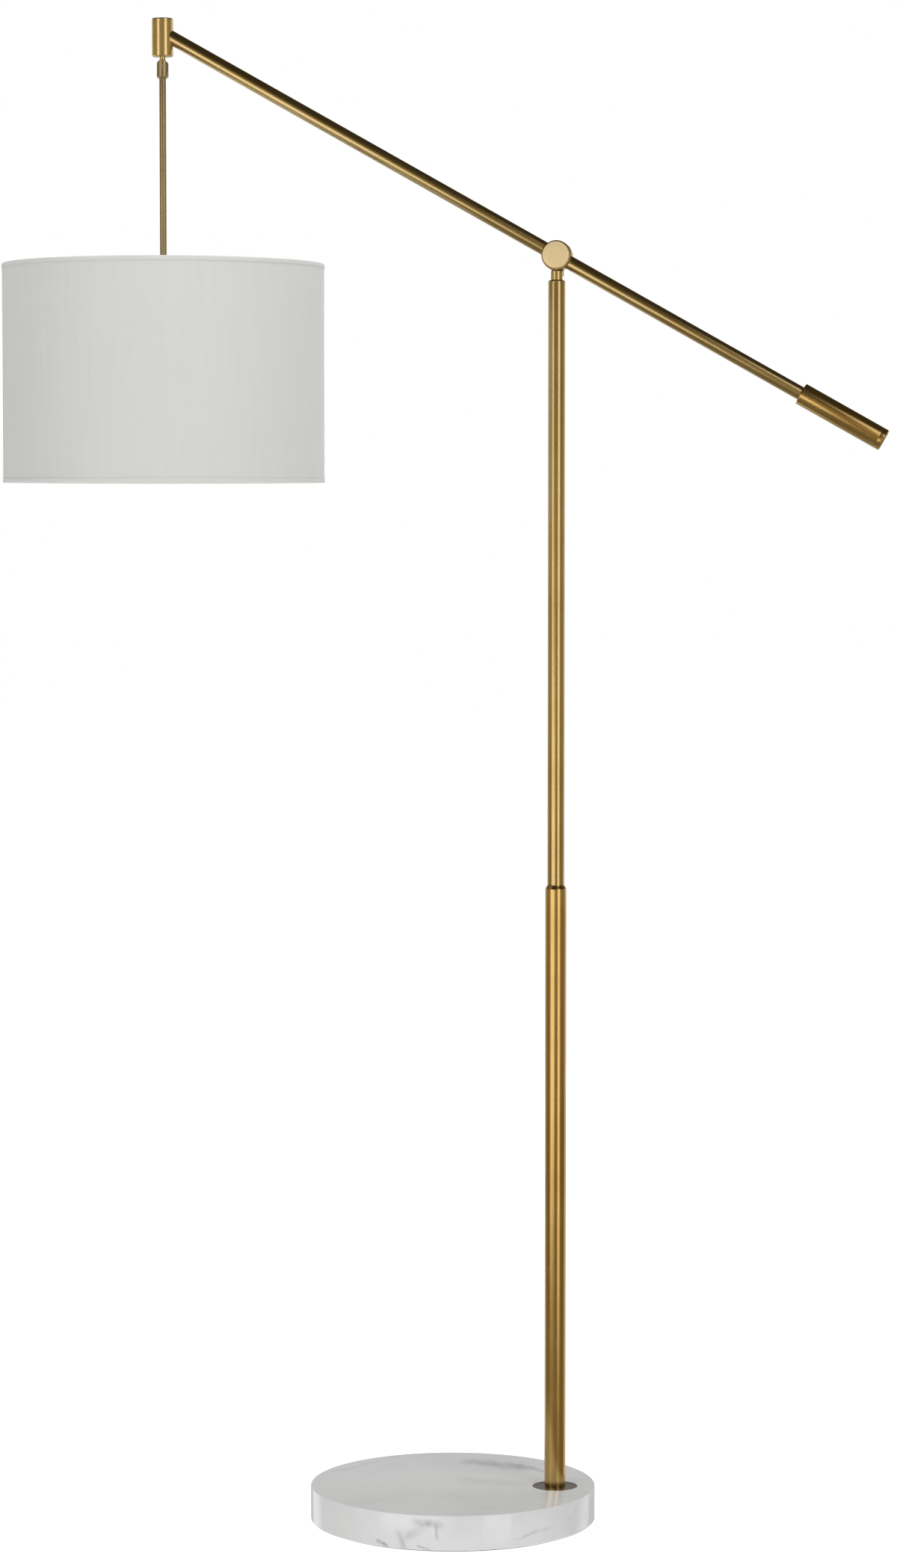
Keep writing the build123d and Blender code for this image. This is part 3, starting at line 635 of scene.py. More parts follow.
@dataclass(frozen=True)
class CutFoam(Finish):
    """Dense cellular foam rubber, cut from a sheet."""

    name: str
    tone: Tone = (0.045, 0.045, 0.047)
    pore_painted_shade: Tone = (0.012, 0.012, 0.013)
    cells_per_m: float = 1500.0

    def paint(self, bench: Bench, skin: bpy.types.Node) -> None:
        """Small open cells over a matt ground."""
        inputs = {"Vector": self.place(bench), "Scale": self.cells_per_m}
        cell = bench.num(bench.node("ShaderNodeTexVoronoi", None, inputs), "Distance")
        wall = bench.step(cell, 0.10, 0.42)
        # The cells' hollows are darker: painted shade in the pores.
        bench.feed(skin.inputs["Base Color"], bench.mix(wall, self.pore_painted_shade, self.tone))
        bench.feed(skin.inputs["Roughness"], bench.clamp(wall * 0.08 + 0.86))
        bench.feed(skin.inputs["Normal"], self.bump(bench, wall, deep=0.0003, strength=0.6))


@dataclass(frozen=True)
class PowderCoat(Finish):
    """White powder coat over wire, with a slight orange peel."""

    name: str
    tone: Tone = (0.800, 0.800, 0.785)
    thin: Tone = (0.690, 0.690, 0.680)
    peels_per_m: float = 900.0
    coats_per_m: float = 120.0

    def paint(self, bench: Bench, skin: bpy.types.Node) -> None:
        """Orange peel in the bump, and thinner paint here and there."""
        place = self.place(bench)
        peel = bench.num(bench.noise(place, self.peels_per_m, detail=2.0))
        coat = bench.num(bench.noise(place, self.coats_per_m))
        bench.feed(skin.inputs["Base Color"], bench.mix(coat, self.thin, self.tone))
        bench.feed(skin.inputs["Roughness"], (peel - 0.5) * 0.15 + 0.42)
        bench.feed(skin.inputs["Normal"], self.bump(bench, peel, deep=0.00005, strength=0.3))


@dataclass(frozen=True)
class OpalGlass(Finish):
    """Milky opal glass, thinner and a little greyer towards the neck."""

    name: str
    neck_z: float
    globe_z: float
    milk: Tone = (0.930, 0.930, 0.905)
    thin: Tone = (0.780, 0.790, 0.790)
    swirls_per_m: float = 38.0
    depth: Point = (0.006, 0.006, 0.005)

    def paint(self, bench: Bench, skin: bpy.types.Node) -> None:
        """Milk that thins out from the globe to the neck, with faint swirls."""
        place = self.place(bench)
        _, _, z = bench.parts(place)
        swirl = bench.num(bench.noise(place, self.swirls_per_m))
        thin = bench.step(z, self.globe_z, self.neck_z) * 0.7 + (swirl - 0.5) * 0.12
        bench.feed(skin.inputs["Base Color"], bench.mix(bench.clamp(thin), self.milk, self.thin))
        bench.feed(skin.inputs["Roughness"], (swirl - 0.5) * 0.04 + 0.14)
        bench.feed(skin.inputs["IOR"], 1.5)
        bench.feed(skin.inputs["Subsurface Weight"], 0.35)
        bench.feed(skin.inputs["Subsurface Radius"], self.depth)


# ---- Mesh making ----


@dataclass(frozen=True)
class Axle:
    """The line that a turned piece is made round."""

    origin: Vector
    along: Vector = UP

    def matrix(self) -> Matrix:
        """The turn and move from a piece's own axis to its place."""
        turn = UP.rotation_difference(self.along).to_matrix().to_4x4()
        return Matrix.Translation(self.origin) @ turn


@dataclass(frozen=True)
class Corner:
    """One corner of a half outline, in millimetres: radius, height and rounding."""

    r: float
    z: float
    ease: float = 0.0


def eased(
    corners: Sequence[Corner], loop: bool, steps: int = EASE_STEPS
) -> list[tuple[float, ...]]:
    """Round a half outline's corners.

    Args:
        corners: The outline's corners in order.
        loop: Whether the outline closes on itself.
        steps: Faces round each eased corner.

    Returns:
        Points of the outline: radius, height and how rubbed the edge is, from 0 to 1.
    """
    out: list[tuple[float, ...]] = []
    last = len(corners) - 1
    for k, corner in enumerate(corners):
        here = Vector((corner.r, corner.z))
        if not corner.ease or (not loop and k in (0, last)):
            out.append((corner.r, corner.z, 0.0))
            continue
        before, after = corners[k - 1], corners[(k + 1) % len(corners)]
        come = (here - Vector((before.r, before.z))).normalized()
        leave = (Vector((after.r, after.z)) - here).normalized()
        turn = come.angle_signed(leave, 0.0)
        if abs(turn) < STRAIGHT:
            out.append((corner.r, corner.z, 0.0))
            continue
        side = -1.0 if turn > 0 else 1.0
        inward = Vector((-come.y, come.x)) * side
        start = here - come * corner.ease * math.tan(abs(turn) / 2)
        centre = start + inward * corner.ease
        for n in range(steps + 1):
            swing = side * abs(turn) * n / steps
            spoke = start - centre
            c, s = math.cos(swing), math.sin(swing)
            point = centre + Vector((spoke.x * c - spoke.y * s, spoke.x * s + spoke.y * c))
            out.append((point.x, point.y, math.sin(math.pi * n / steps)))
    return out


def tube(bore: float, r: float, low: float, high: float, ease: float = 0.0) -> list[Corner]:
    """Half outline of a plain tube, in millimetres.

    Args:
        bore: Its inner radius.
        r: Its outer radius.
        low: Its lower end.
        high: Its upper end.
        ease: Rounding of its outer edges.

    Returns:
        The outline's corners.
    """
    return [Corner(bore, low), Corner(r, low, ease), Corner(r, high, ease), Corner(bore, high)]


def turned(
    name: str,
    corners: Sequence[Corner],
    axle: Axle,
    loop: bool = False,
    sides: int = SIDES,
    angles: Sequence[float] | None = None,
    sharp: float = SHARP,
) -> bpy.types.Object:
    """Turn a half outline round an axle into a closed piece.

    Args:
        name: The piece's name.
        corners: The half outline, in millimetres along and out from the axle.
        axle: The line it is turned round.
        loop: Whether the outline is a closed ring, as for a tube, or starts and ends on the axle.
        sides: Faces round the piece, where no angles are given.
        angles: The angles of the upright edges, for uneven faces.
        sharp: Edges that turn by more degrees than this stay crisp.

    Returns:
        The piece, with UV in metres and the attributes "rub" and "end_face".
    """
    points = eased(corners, loop)
    rounds = list(angles) if angles is not None else [math.tau * k / sides for k in range(sides)]
    biggest = max(p[0] for p in points) * MM
    bm = bmesh.new()
    uv = bm.loops.layers.uv.new("UVMap")
    rub = bm.verts.layers.float.new("rub")
    end = bm.faces.layers.float.new("end_face")
    rings = []
    for r, z, worn in points:
        spots = rounds if r > TINY else rounds[:1]
        ring = []
        for a in spots:
            vert = bm.verts.new((r * math.cos(a) * MM, r * math.sin(a) * MM, z * MM))
            vert[rub] = worn
            ring.append(vert)
        rings.append(ring)
    far = [0.0]
    for (r0, z0, _), (r1, z1, _) in zip(points, points[1:] + points[:1]):
        far.append(far[-1] + math.hypot(r1 - r0, z1 - z0) * MM)
    count = len(rounds)
    for i in range(len(points) if loop else len(points) - 1):
        j = (i + 1) % len(points)
        low, high = rings[i], rings[j]
        rise, run = points[j][1] - points[i][1], points[j][0] - points[i][0]
        flat = abs(rise) < FLAT_SLOPE * abs(run)
        for k in range(count):
            n = (k + 1) % count
            a0, a1 = rounds[k], rounds[n] if n else rounds[0] + math.tau
            quad = [(low, k, a0, far[i]), (low, n, a1, far[i])]
            quad += [(high, n, a1, far[i + 1]), (high, k, a0, far[i + 1])]
            seen, loops = [], []
            for ring, m, a, v in quad:
                vert = ring[m if len(ring) > 1 else 0]
                if vert not in seen:
                    seen.append(vert)
                    loops.append((a * biggest, v))
            if len(seen) < 3:
                continue
            face = bm.faces.new(seen)
            face.smooth = True
            face[end] = 1.0 if flat else 0.0
            for corner, spot in zip(face.loops, loops):
                corner[uv].uv = spot
    bmesh.ops.recalc_face_normals(bm, faces=bm.faces)
    bm.transform(axle.matrix())
    return finished(name, bm, sharp)


def finished(name: str, bm: bmesh.types.BMesh, sharp: float = SHARP) -> bpy.types.Object:
    """Make an object at the origin from mesh data in its place.

    Args:
        name: The piece's name.
        bm: The mesh data, which is freed.
        sharp: Edges that turn by more degrees than this stay crisp.

    Returns:
        The piece.
    """
    mesh = bpy.data.meshes.new(name)
    bm.to_mesh(mesh)
    bm.free()
    mesh.set_sharp_from_angle(angle=math.radians(sharp))
    piece = bpy.data.objects.new(name, mesh)
    bpy.context.scene.collection.objects.link(piece)
    return piece


def applied(piece: bpy.types.Object) -> bpy.types.Object:
    """Turn a piece's modifiers into plain mesh.

    Args:
        piece: The piece, with its modifiers.

    Returns:
        The same piece, without modifiers.
    """
    bpy.context.view_layer.update()
    shape = piece.evaluated_get(bpy.context.evaluated_depsgraph_get())
    mesh = bpy.data.meshes.new_from_object(shape)
    mesh.name = piece.name
    piece.modifiers.clear()
    old, piece.data = piece.data, mesh
    bpy.data.meshes.remove(old)
    return piece


def joined(name: str, pieces: Sequence[bpy.types.Object]) -> bpy.types.Object:
    """Make one piece of several.

    Args:
        name: The new piece's name.
        pieces: The pieces, which are removed.

    Returns:
        The new piece.
    """
    bm = bmesh.new()
    for piece in pieces:
        bm.from_mesh(piece.data)
        bpy.data.objects.remove(piece)
    return finished(name, bm)


def cut(piece: bpy.types.Object, cutters: Sequence[bpy.types.Object]) -> bpy.types.Object:
    """Cut shapes out of a piece.

    Args:
        piece: The piece that is cut.
        cutters: The shapes, which are removed.

    Returns:
        The cut piece.
    """
    for cutter in cutters:
        knife = piece.modifiers.new("cut", "BOOLEAN")
        knife.operation, knife.solver, knife.object = "DIFFERENCE", "EXACT", cutter
        applied(piece)
        bpy.data.objects.remove(cutter)
    piece.data.set_sharp_from_angle(angle=math.radians(SHARP))
    return piece


def fitted(
    piece: bpy.types.Object,
    body: Body,
    finish: Finish,
    stands_for: Sequence[str] = (),
) -> bpy.types.Object:
    """Give a made piece its finish, hang it on its body and let it stand for CAD nodes.

    Args:
        piece: The finished mesh.
        body: The moving part it belongs to.
        finish: Its finish.
        stands_for: The CAD nodes it replaces.

    Returns:
        The piece.
    """
    material = finish.material()
    piece.data.materials.clear()
    piece.data.materials.append(material)
    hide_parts(*stands_for)
    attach(piece, body.value)
    log.info("made %s: %d faces, %s", piece.name, len(piece.data.polygons), finish.name)
    return piece


def dressed(nodes: Sequence[str], finish: Finish) -> None:
    """Put a finish on CAD nodes whose shape stays.

    Args:
        nodes: The nodes' names.
        finish: Their finish.
    """
    material = finish.material()
    for name in nodes:
        for place in frame["nodes"][name].material_slots:
            place.material = material
        log.info("dressed %s: %s", name, finish.name)


@dataclass(frozen=True)
class Span:
    """A CAD node's box, in millimetres."""

    low: Vector
    high: Vector

    @classmethod
    def of(cls, node: str) -> "Span":
        """The box of a node, by its name."""
        low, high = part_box(node)
        return cls(low / MM, high / MM)

    @property
    def mid(self) -> Vector:
        """The box's centre."""
        return (self.low + self.high) / 2

    @property
    def r(self) -> float:
        """Half the box's width along X: a round piece's radius, where its axis is across X."""
        return (self.high.x - self.low.x) / 2


# ---- Geometry trees ----


class ShapeTree(Bench):
    """A geometry tree with named inputs, ending in real geometry with one finish."""

    def __init__(self, name: str, sizes: Mapping[str, tuple[str, object]]) -> None:
        """Start a tree.

        Args:
            name: The tree's name.
            sizes: Each input's name, with its kind of socket and its usual value.
        """
        super().__init__(bpy.data.node_groups.new(name, "GeometryNodeTree"))
        face = self.tree.interface
        face.new_socket("Geometry", in_out="INPUT", socket_type="NodeSocketGeometry")
        for label, (kind, usual) in sizes.items():
            made = face.new_socket(label, in_out="INPUT", socket_type=f"NodeSocket{kind}")
            if usual is not None:
                made.default_value = usual
        face.new_socket("Finish", in_out="INPUT", socket_type="NodeSocketMaterial")
        face.new_socket("Geometry", in_out="OUTPUT", socket_type="NodeSocketGeometry")
        self.given = self.node("NodeGroupInput")

    def size(self, label: str) -> Num:
        """A named input as a number."""
        return self.num(self.given, label)

    def end(self, shape: bpy.types.NodeSocket) -> None:
        """Make instances real, set the finish, and lead the shape out.

        Args:
            shape: The tree's geometry.
        """
        real = self.node("GeometryNodeRealizeInstances", None, {0: shape}).outputs[0]
        inputs = {"Geometry": real, "Material": self.given.outputs["Finish"]}
        painted = self.node("GeometryNodeSetMaterial", None, inputs).outputs[0]
        self.node("NodeGroupOutput", None, {0: painted})

    def run(self, piece: bpy.types.Object, sizes: Mapping[str, object]) -> bpy.types.Object:
        """Run the tree on a piece and keep the result as plain mesh.

        Args:
            piece: The piece.
            sizes: Values of the named inputs.

        Returns:
            The same piece.
        """
        modifier = piece.modifiers.new(self.tree.name, "NODES")
        modifier.node_group = self.tree
        sockets = {
            item.name: item.identifier
            for item in self.tree.interface.items_tree
            if item.item_type == "SOCKET" and item.in_out == "INPUT"
        }
        for label, value in sizes.items():
            modifier[sockets[label]] = value
        return applied(piece)


def rolled_thread() -> ShapeTree:
    """Tree that presses a round screw thread into a turned wall.

    Returns:
        The tree.
    """
    sizes = {
        "Axis X": ("Float", 0.0),
        "From": ("Float", 0.0),
        "To": ("Float", 0.02),
        "Pitch": ("Float", 0.0036),
        "Depth": ("Float", 0.0004),
        "Runout": ("Float", 0.0015),
    }
    tree = ShapeTree("rolled_thread", sizes)
    x, y, z = tree.parts(tree.node("GeometryNodeInputPosition").outputs[0])
    out_x = x - tree.size("Axis X")
    reach = tree.maths("MAXIMUM", (out_x * out_x + y * y) ** 0.5, TINY)
    angle = tree.maths("ARCTAN2", y, out_x)
    wave = tree.maths("COSINE", z * math.tau / tree.size("Pitch") - angle)
    start, stop, runout = tree.size("From"), tree.size("To"), tree.size("Runout")
    inside = tree.step(z, start, start + runout) * (1.0 - tree.step(z, stop - runout, stop))
    press = (wave - 1.0) * 0.5 * tree.size("Depth") * inside
    move = tree.vector(out_x / reach * press, y / reach * press, 0.0)
    inputs = {"Geometry": tree.given.outputs["Geometry"], "Offset": move}
    tree.end(tree.node("GeometryNodeSetPosition", None, inputs).outputs[0])
    return tree


def spokes() -> ShapeTree:
    """Tree that repeats one arm evenly round an upright line.

    Returns:
        The tree.
    """
    tree = ShapeTree("spokes", {"Count": ("Int", 3), "Centre": ("Vector", (0.0, 0.0, 0.0))})
    count = tree.given.outputs["Count"]
    points = tree.node("GeometryNodePoints", None, {"Count": count}).outputs[0]
    index = tree.num(tree.node("GeometryNodeInputIndex"))
    turn = tree.vector(0.0, 0.0, index * math.tau / tree.size("Count"))
    inputs = {
        "Points": points,
        "Instance": tree.given.outputs["Geometry"],
        "Rotation": turn,
    }
    arms = tree.node("GeometryNodeInstanceOnPoints", None, inputs).outputs[0]
    inputs = {"Geometry": arms, "Translation": tree.given.outputs["Centre"]}
    tree.end(tree.node("GeometryNodeTransform", None, inputs).outputs[0])
    return tree


def hand_stretched() -> ShapeTree:
    """Tree that lets cloth on a drum ease inwards a little, unevenly, between its rings.

    Returns:
        The tree.
    """
    sizes = {
        "Axis X": ("Float", 0.0),
        "Low": ("Float", 0.0),
        "High": ("Float", 0.25),
        "Ease": ("Float", 0.0002),
        "Waves round": ("Float", 13.0),
        "Waves up": ("Float", 2.2),
        "Seed": ("Float", 4.0),
    }
    tree = ShapeTree("hand_stretched", sizes)
    x, y, z = tree.parts(tree.node("GeometryNodeInputPosition").outputs[0])
    out_x = x - tree.size("Axis X")
    reach = tree.maths("MAXIMUM", (out_x * out_x + y * y) ** 0.5, TINY)
    low, high = tree.size("Low"), tree.size("High")
    span = (z - low) / (high - low)
    free = tree.maths("SINE", tree.clamp(span) * math.pi)
    waves, up = tree.size("Waves round"), z * tree.size("Waves up") + tree.size("Seed")
    where = tree.vector(out_x * waves, y * waves, up)
    sway = tree.num(tree.noise(where, 1.0, 1.0, 0.4)) - 0.5
    push = (sway * 2.0 - 1.0) * tree.size("Ease") * free
    move = tree.vector(out_x / reach * push, y / reach * push, 0.0)
    inputs = {"Geometry": tree.given.outputs["Geometry"], "Offset": move}
    tree.end(tree.node("GeometryNodeSetPosition", None, inputs).outputs[0])
    return tree


# ---- Shared finishes and places ----

POLE = Span.of("lower_pole")
HEAD = Span.of("head_cap")
KNUCKLE = next(Vector(j["pos_m"]) for j in frame["joints"] if j["name"] == "boom_tilt")
BOOM_ALONG = (Span.of("boom_tube_front").mid - Span.of("boom_tube_rear").mid).normalized()
POLE_AXLE = Axle(Vector((POLE.mid.x * MM, 0.0, 0.0)))
HEAD_AXLE = Axle(Vector((HEAD.mid.x * MM, 0.0, 0.0)))
BOOM_AXLE = Axle(KNUCKLE, BOOM_ALONG)
KNOB_AXLE = Axle(Vector((KNUCKLE.x, 0.0, KNUCKLE.z)), TO_FRONT)


def brass(name: str, axle: Axle, grain: Grain = Grain.LENGTHWISE, **looks: object) -> BrushedBrass:
    """Brushed brass whose streaks follow a piece's axle.

    Args:
        name: What the finish is for, in a word.
        axle: The piece's axle.
        grain: Which way the polishing belt ran.
        **looks: Tones and gloss that differ from plain brushed brass.

    Returns:
        The finish.
    """
    place, along = tuple(axle.origin), tuple(axle.along)
    return BrushedBrass(f"finish_{name}_brass", grain, place, along, **looks)


# A darker, more saturated copy of the brass: painted shade that stands in for the dim, warm
# reflections on the lower pole and the counterweight.
DEEP_PAINTED_SHADE: dict[str, Tone] = {"bright": (0.640, 0.455, 0.185), "brown": (0.440, 0.270, 0.075)}
# A paler copy of the brass: painted light that makes the head and its cup read as brightly lit.
PALE_PAINTED_LIGHT: dict[str, Tone] = {"bright": (0.740, 0.585, 0.305), "brown": (0.520, 0.380, 0.160)}
DULL: dict[str, Tone] = {"bright": (0.470, 0.385, 0.235), "brown": (0.350, 0.275, 0.155)}
# The knob's brass: a real satin finish, with tones lightened as painted light so that its face
# reads pale and bright.
SATIN_AND_PAINTED_LIGHT: dict[str, Tone] = {"bright": (0.860, 0.685, 0.410), "brown": (0.800, 0.620, 0.350)}

POLE_BRASS = brass("pole", POLE_AXLE)
# The lower pole and the counterweight take the darker copy: painted shade.
LOWER_SHADED_BRASS = brass("lower", POLE_AXLE, **DEEP_PAINTED_SHADE)
BOOM_BRASS = brass("boom", BOOM_AXLE)
WEIGHT_SHADED_BRASS = brass("weight", BOOM_AXLE, **DEEP_PAINTED_SHADE)
# The head's pieces take the paler copy: painted light.
HEAD_LIT_BRASS = brass("head", HEAD_AXLE, **PALE_PAINTED_LIGHT)
ROD_BRASS = brass("rod", HEAD_AXLE, gloss=0.36, **DULL)
KNUCKLE_BRASS = brass("knuckle", KNOB_AXLE, Grain.TURNED)
# The knob: satin finish, partly diffuse, with painted light in its lightened tones.
KNOB_SATIN_LIT_BRASS = brass("knob", KNOB_AXLE, Grain.TURNED, gloss=0.50, metal=0.6, **SATIN_AND_PAINTED_LIGHT)
ZINC = PlatedMetal("finish_zinc", (0.600, 0.605, 0.610), (0.440, 0.445, 0.455))
ALUMINIUM = PlatedMetal(
    "finish_aluminium", (0.760, 0.755, 0.740), (0.620, 0.620, 0.610), gloss=0.28
)
RUBBER = Moulded("finish_rubber", (0.014, 0.014, 0.014), (0.030, 0.029, 0.028), 0.24, 0.2)
BLACK_PLASTIC = Moulded("finish_black_plastic", (0.022, 0.022, 0.023), (0.04, 0.04, 0.04), 0.42)
WHITE_PLASTIC = Moulded("finish_white_plastic", (0.800, 0.800, 0.775), (0.70, 0.69, 0.66), 0.40)
SLEEVE = Moulded("finish_lead_sleeve", (0.740, 0.735, 0.700), (0.62, 0.61, 0.58), 0.55, 0.2)
# Near-black rubber; the brown tint in its tones is painted reflection of the brass pole standing in
# it.
GASKET = Moulded("finish_gasket", (0.052, 0.038, 0.022), (0.075, 0.056, 0.034), 0.17, 0.1)
FOAM = CutFoam("finish_foam")
POWDER = PowderCoat("finish_powder_coat")


# ---- Sub-assemblies ----


@dataclass
class MarbleBase:
    """The marble disc with its well, the foam under it and what clamps the pole to it."""

    edge: float = 1.5
    disc_sides: int = 288
    well_sides: int = 128
    well_rim: float = 0.5
    channel_top: float = 13.0
    channel_w: float = 10.0
    channel_past: float = 10.0
    pocket_r: float = 38.0
    pocket_top: float = 23.0
    stem_hole_r: float = 6.0
    thread_pitch: float = 1.0
    thread_depth: float = 0.6
    stem_wall: float = 1.5
    stem_edge: float = 0.5
    row_h: float = 0.25
    row_count: int = 160
    well_gap: float = 0.3
    past: float = 1.0
    veins: tuple[Vein, ...] = (
        Vein((0.045, 0.105, 0.043), (0.42, 0.90, 0.10), 0.0240, 0.060, 0.62, 0.012),
        Vein((0.090, 0.088, 0.043), (0.70, 0.70, 0.05), 0.0120, 0.055, 0.36, 0.014),
        Vein((0.045, 0.010, 0.043), (0.30, 0.95, 0.00), 0.0260, 0.060, 0.20, 0.018),
        Vein((-0.012, -0.167, 0.033), (0.15, 0.10, 1.00), 0.0070, 0.024, 0.36, 0.004),
        Vein((-0.026, -0.166, 0.024), (0.52, 0.00, -0.85), 0.0085, 0.026, 0.28, 0.006),
        Vein((-0.043, -0.162, 0.012), (1.00, 0.00, 0.35), 0.0070, 0.018, 0.34, 0.006),
        Vein((-0.002, -0.168, 0.026), (1.00, 0.00, 0.10), 0.0035, 0.014, 0.40, 0.003),
        Vein((-0.066, -0.155, 0.006), (0.45, 0.00, 1.00), 0.0034, 0.011, 0.66, 0.004),
        Vein((-0.016, -0.167, 0.005), (0.25, 0.00, 1.00), 0.0026, 0.012, 0.70, 0.003),
        Vein((0.108, -0.128, 0.016), (-0.35, 0.20, 1.00), 0.0030, 0.034, 0.30, 0.008),
        Vein((-0.130, 0.070, 0.043), (0.80, -0.60, 0.20), 0.0050, 0.060, 0.20, 0.012),
        Vein((-0.060, 0.160, 0.020), (0.60, 0.10, 0.75), 0.0040, 0.050, 0.45, 0.010),
    )

    def build(self) -> None:
        """Make the disc and dress what sits in it."""
        log.info("marble base")
        self.disc()
        self.fittings()

    def disc(self) -> None:
        """Turn the disc, then cut the well, the pocket, the stem's hole and the channel."""
        slab, gasket = Span.of("marble_base"), Span.of("pole_gasket")
        top, low, floor = slab.high.z, slab.low.z, gasket.low.z
        well = gasket.r + self.well_gap
        rim = [
            Corner(0.0, low),
            Corner(slab.r - self.edge, low),
            Corner(slab.r, low + self.edge),
            Corner(slab.r, top, self.edge),
            Corner(0.0, top),
        ]
        disc = turned("marble", rim, Axle(Vector((0.0, 0.0, 0.0))), sides=self.disc_sides)
        flare = self.well_rim
        hole = [
            Corner(0.0, floor),
            Corner(well, floor),
            Corner(well, top - flare),
            Corner(well + 2 * flare, top + flare),
            Corner(0.0, top + flare),
        ]
        pocket = self.plug(self.pocket_r, low - self.past, self.pocket_top)
        stem = self.plug(self.stem_hole_r, self.pocket_top - self.past, floor + self.past)
        well_cut = turned("well", hole, POLE_AXLE, sides=self.well_sides)
        cut(disc, [well_cut, pocket, stem, self.channel()])
        finish = PolishedMarble("finish_marble", self.veins)
        fitted(disc, Body.POLE, finish, ["marble_base"])

    def plug(self, r: float, low: float, high: float) -> bpy.types.Object:
        """A round cutter on the pole's axis.

        Args:
            r: Its radius.
            low: Its lower end.
            high: Its upper end.

        Returns:
            The cutter.
        """
        outline = [Corner(0.0, low), Corner(r, low), Corner(r, high), Corner(0.0, high)]
        return turned("plug", outline, POLE_AXLE)

    def channel(self) -> bpy.types.Object:
        """The cutter of the cord's channel, from the pocket out to the back.

        Returns:
            The cutter.
        """
        bm = bmesh.new()
        bmesh.ops.create_cube(bm, size=1.0)
        long = Span.of("marble_base").high.y + self.channel_past
        size = Matrix.Diagonal((self.channel_w * MM, long * MM, self.channel_top * MM, 1.0))
        place = Vector((POLE.mid.x, long / 2, self.channel_top / 2)) * MM
        bm.transform(Matrix.Translation(place) @ size)
        return finished("channel", bm)

    def fittings(self) -> None:
        """Foam, gasket, grommet, terminal block, and the clamped, threaded stem."""
        dressed(["base_pad"], FOAM)
        dressed(["cord_grommet"], RUBBER)
        dressed(["pole_gasket"], GASKET)
        dressed(["terminal_block"], WHITE_PLASTIC)
        dressed(["clamp_washer", "base_nut", "pole_foot"], ZINC)
        stem = Span.of("threaded_stem")
        bore, end_r = stem.r - self.stem_wall, stem.r - self.stem_edge
        rows = [Corner(stem.r, stem.low.z + self.row_h * k) for k in range(1, self.row_count)]
        outline = [Corner(bore, stem.low.z), Corner(end_r, stem.low.z), *rows]
        outline += [Corner(end_r, stem.high.z), Corner(bore, stem.high.z)]
        piece = turned(
            "threaded_stem_cut", outline, POLE_AXLE, loop=True, sides=SIDES_THIN, sharp=SHARP_THREAD
        )
        sizes = {
            "Axis X": POLE_AXLE.origin.x,
            "From": stem.low.z * MM,
            "To": stem.high.z * MM,
            "Pitch": self.thread_pitch * MM,
            "Depth": self.thread_depth * MM,
            "Runout": self.thread_pitch * MM,
            "Finish": ZINC.material(),
        }
        rolled_thread().run(piece, sizes)
        fitted(piece, Body.POLE, ZINC, ["threaded_stem"])


@dataclass
class Pole:
    """The stepped pole: a wide lower tube swaged in to a narrower upper one."""

    wall_low: float = 1.5
    wall_high: float = 1.2
    shoulder_h: float = 4.6
    shoulder_ease: float = 2.6
    lip: float = 1.2
    lip_out: float = 0.5
    lip_gap: float = 0.1
    neck_bore: float = 7.0
    neck_deep: float = 14.0
    cone_deep: float = 18.0
    spindle_bore: float = 6.05
    bush_edge: float = 1.6

    def build(self) -> None:
        """Turn both tubes and the bush, and dress the coupler and the lead."""
        log.info("pole")
        self.lower()
        self.upper()
        dressed(["pole_coupler"], ZINC)
        dressed(["lead_pole"], SLEEVE)

    def lower(self) -> None:
        """The lower tube with its rounded swage."""
        top, upper_r = POLE.high.z, Span.of("upper_pole").r
        outline = [
            Corner(POLE.r - self.wall_low, POLE.low.z),
            Corner(POLE.r, POLE.low.z, 0.3),
            Corner(POLE.r, top - self.shoulder_h, self.shoulder_ease),
            Corner(upper_r + self.lip_out, top - self.lip, 0.5),
            Corner(upper_r + self.lip_gap, top, 0.1),
            Corner(self.neck_bore, top),
            Corner(self.neck_bore, top - self.neck_deep),
            Corner(POLE.r - self.wall_low, top - self.cone_deep),
        ]
        piece = turned("pole_lower_tube", outline, POLE_AXLE, loop=True)
        fitted(piece, Body.POLE, LOWER_SHADED_BRASS, ["lower_pole"])

    def upper(self) -> None:
        """The upper tube and the bush that closes it."""
        tube, bush = Span.of("upper_pole"), Span.of("pole_top_bush")
        bore = tube.r - self.wall_high
        outline = [
            Corner(bore, tube.low.z),
            Corner(tube.r, tube.low.z),
            Corner(tube.r, tube.high.z, 0.25),
            Corner(bore, tube.high.z),
        ]
        piece = turned("pole_upper_tube", outline, POLE_AXLE, loop=True)
        fitted(piece, Body.POLE, POLE_BRASS, ["upper_pole"])
        outline = [
            Corner(self.spindle_bore, bush.low.z),
            Corner(bore, bush.low.z, 0.4),
            Corner(bore, tube.high.z),
            Corner(bush.r, tube.high.z, 0.25),
            Corner(bush.r, bush.high.z, self.bush_edge),
            Corner(self.spindle_bore, bush.high.z, 0.2),
        ]
        piece = turned("pole_bush", outline, POLE_AXLE, loop=True)
        fitted(piece, Body.POLE, POLE_BRASS, ["pole_top_bush"])


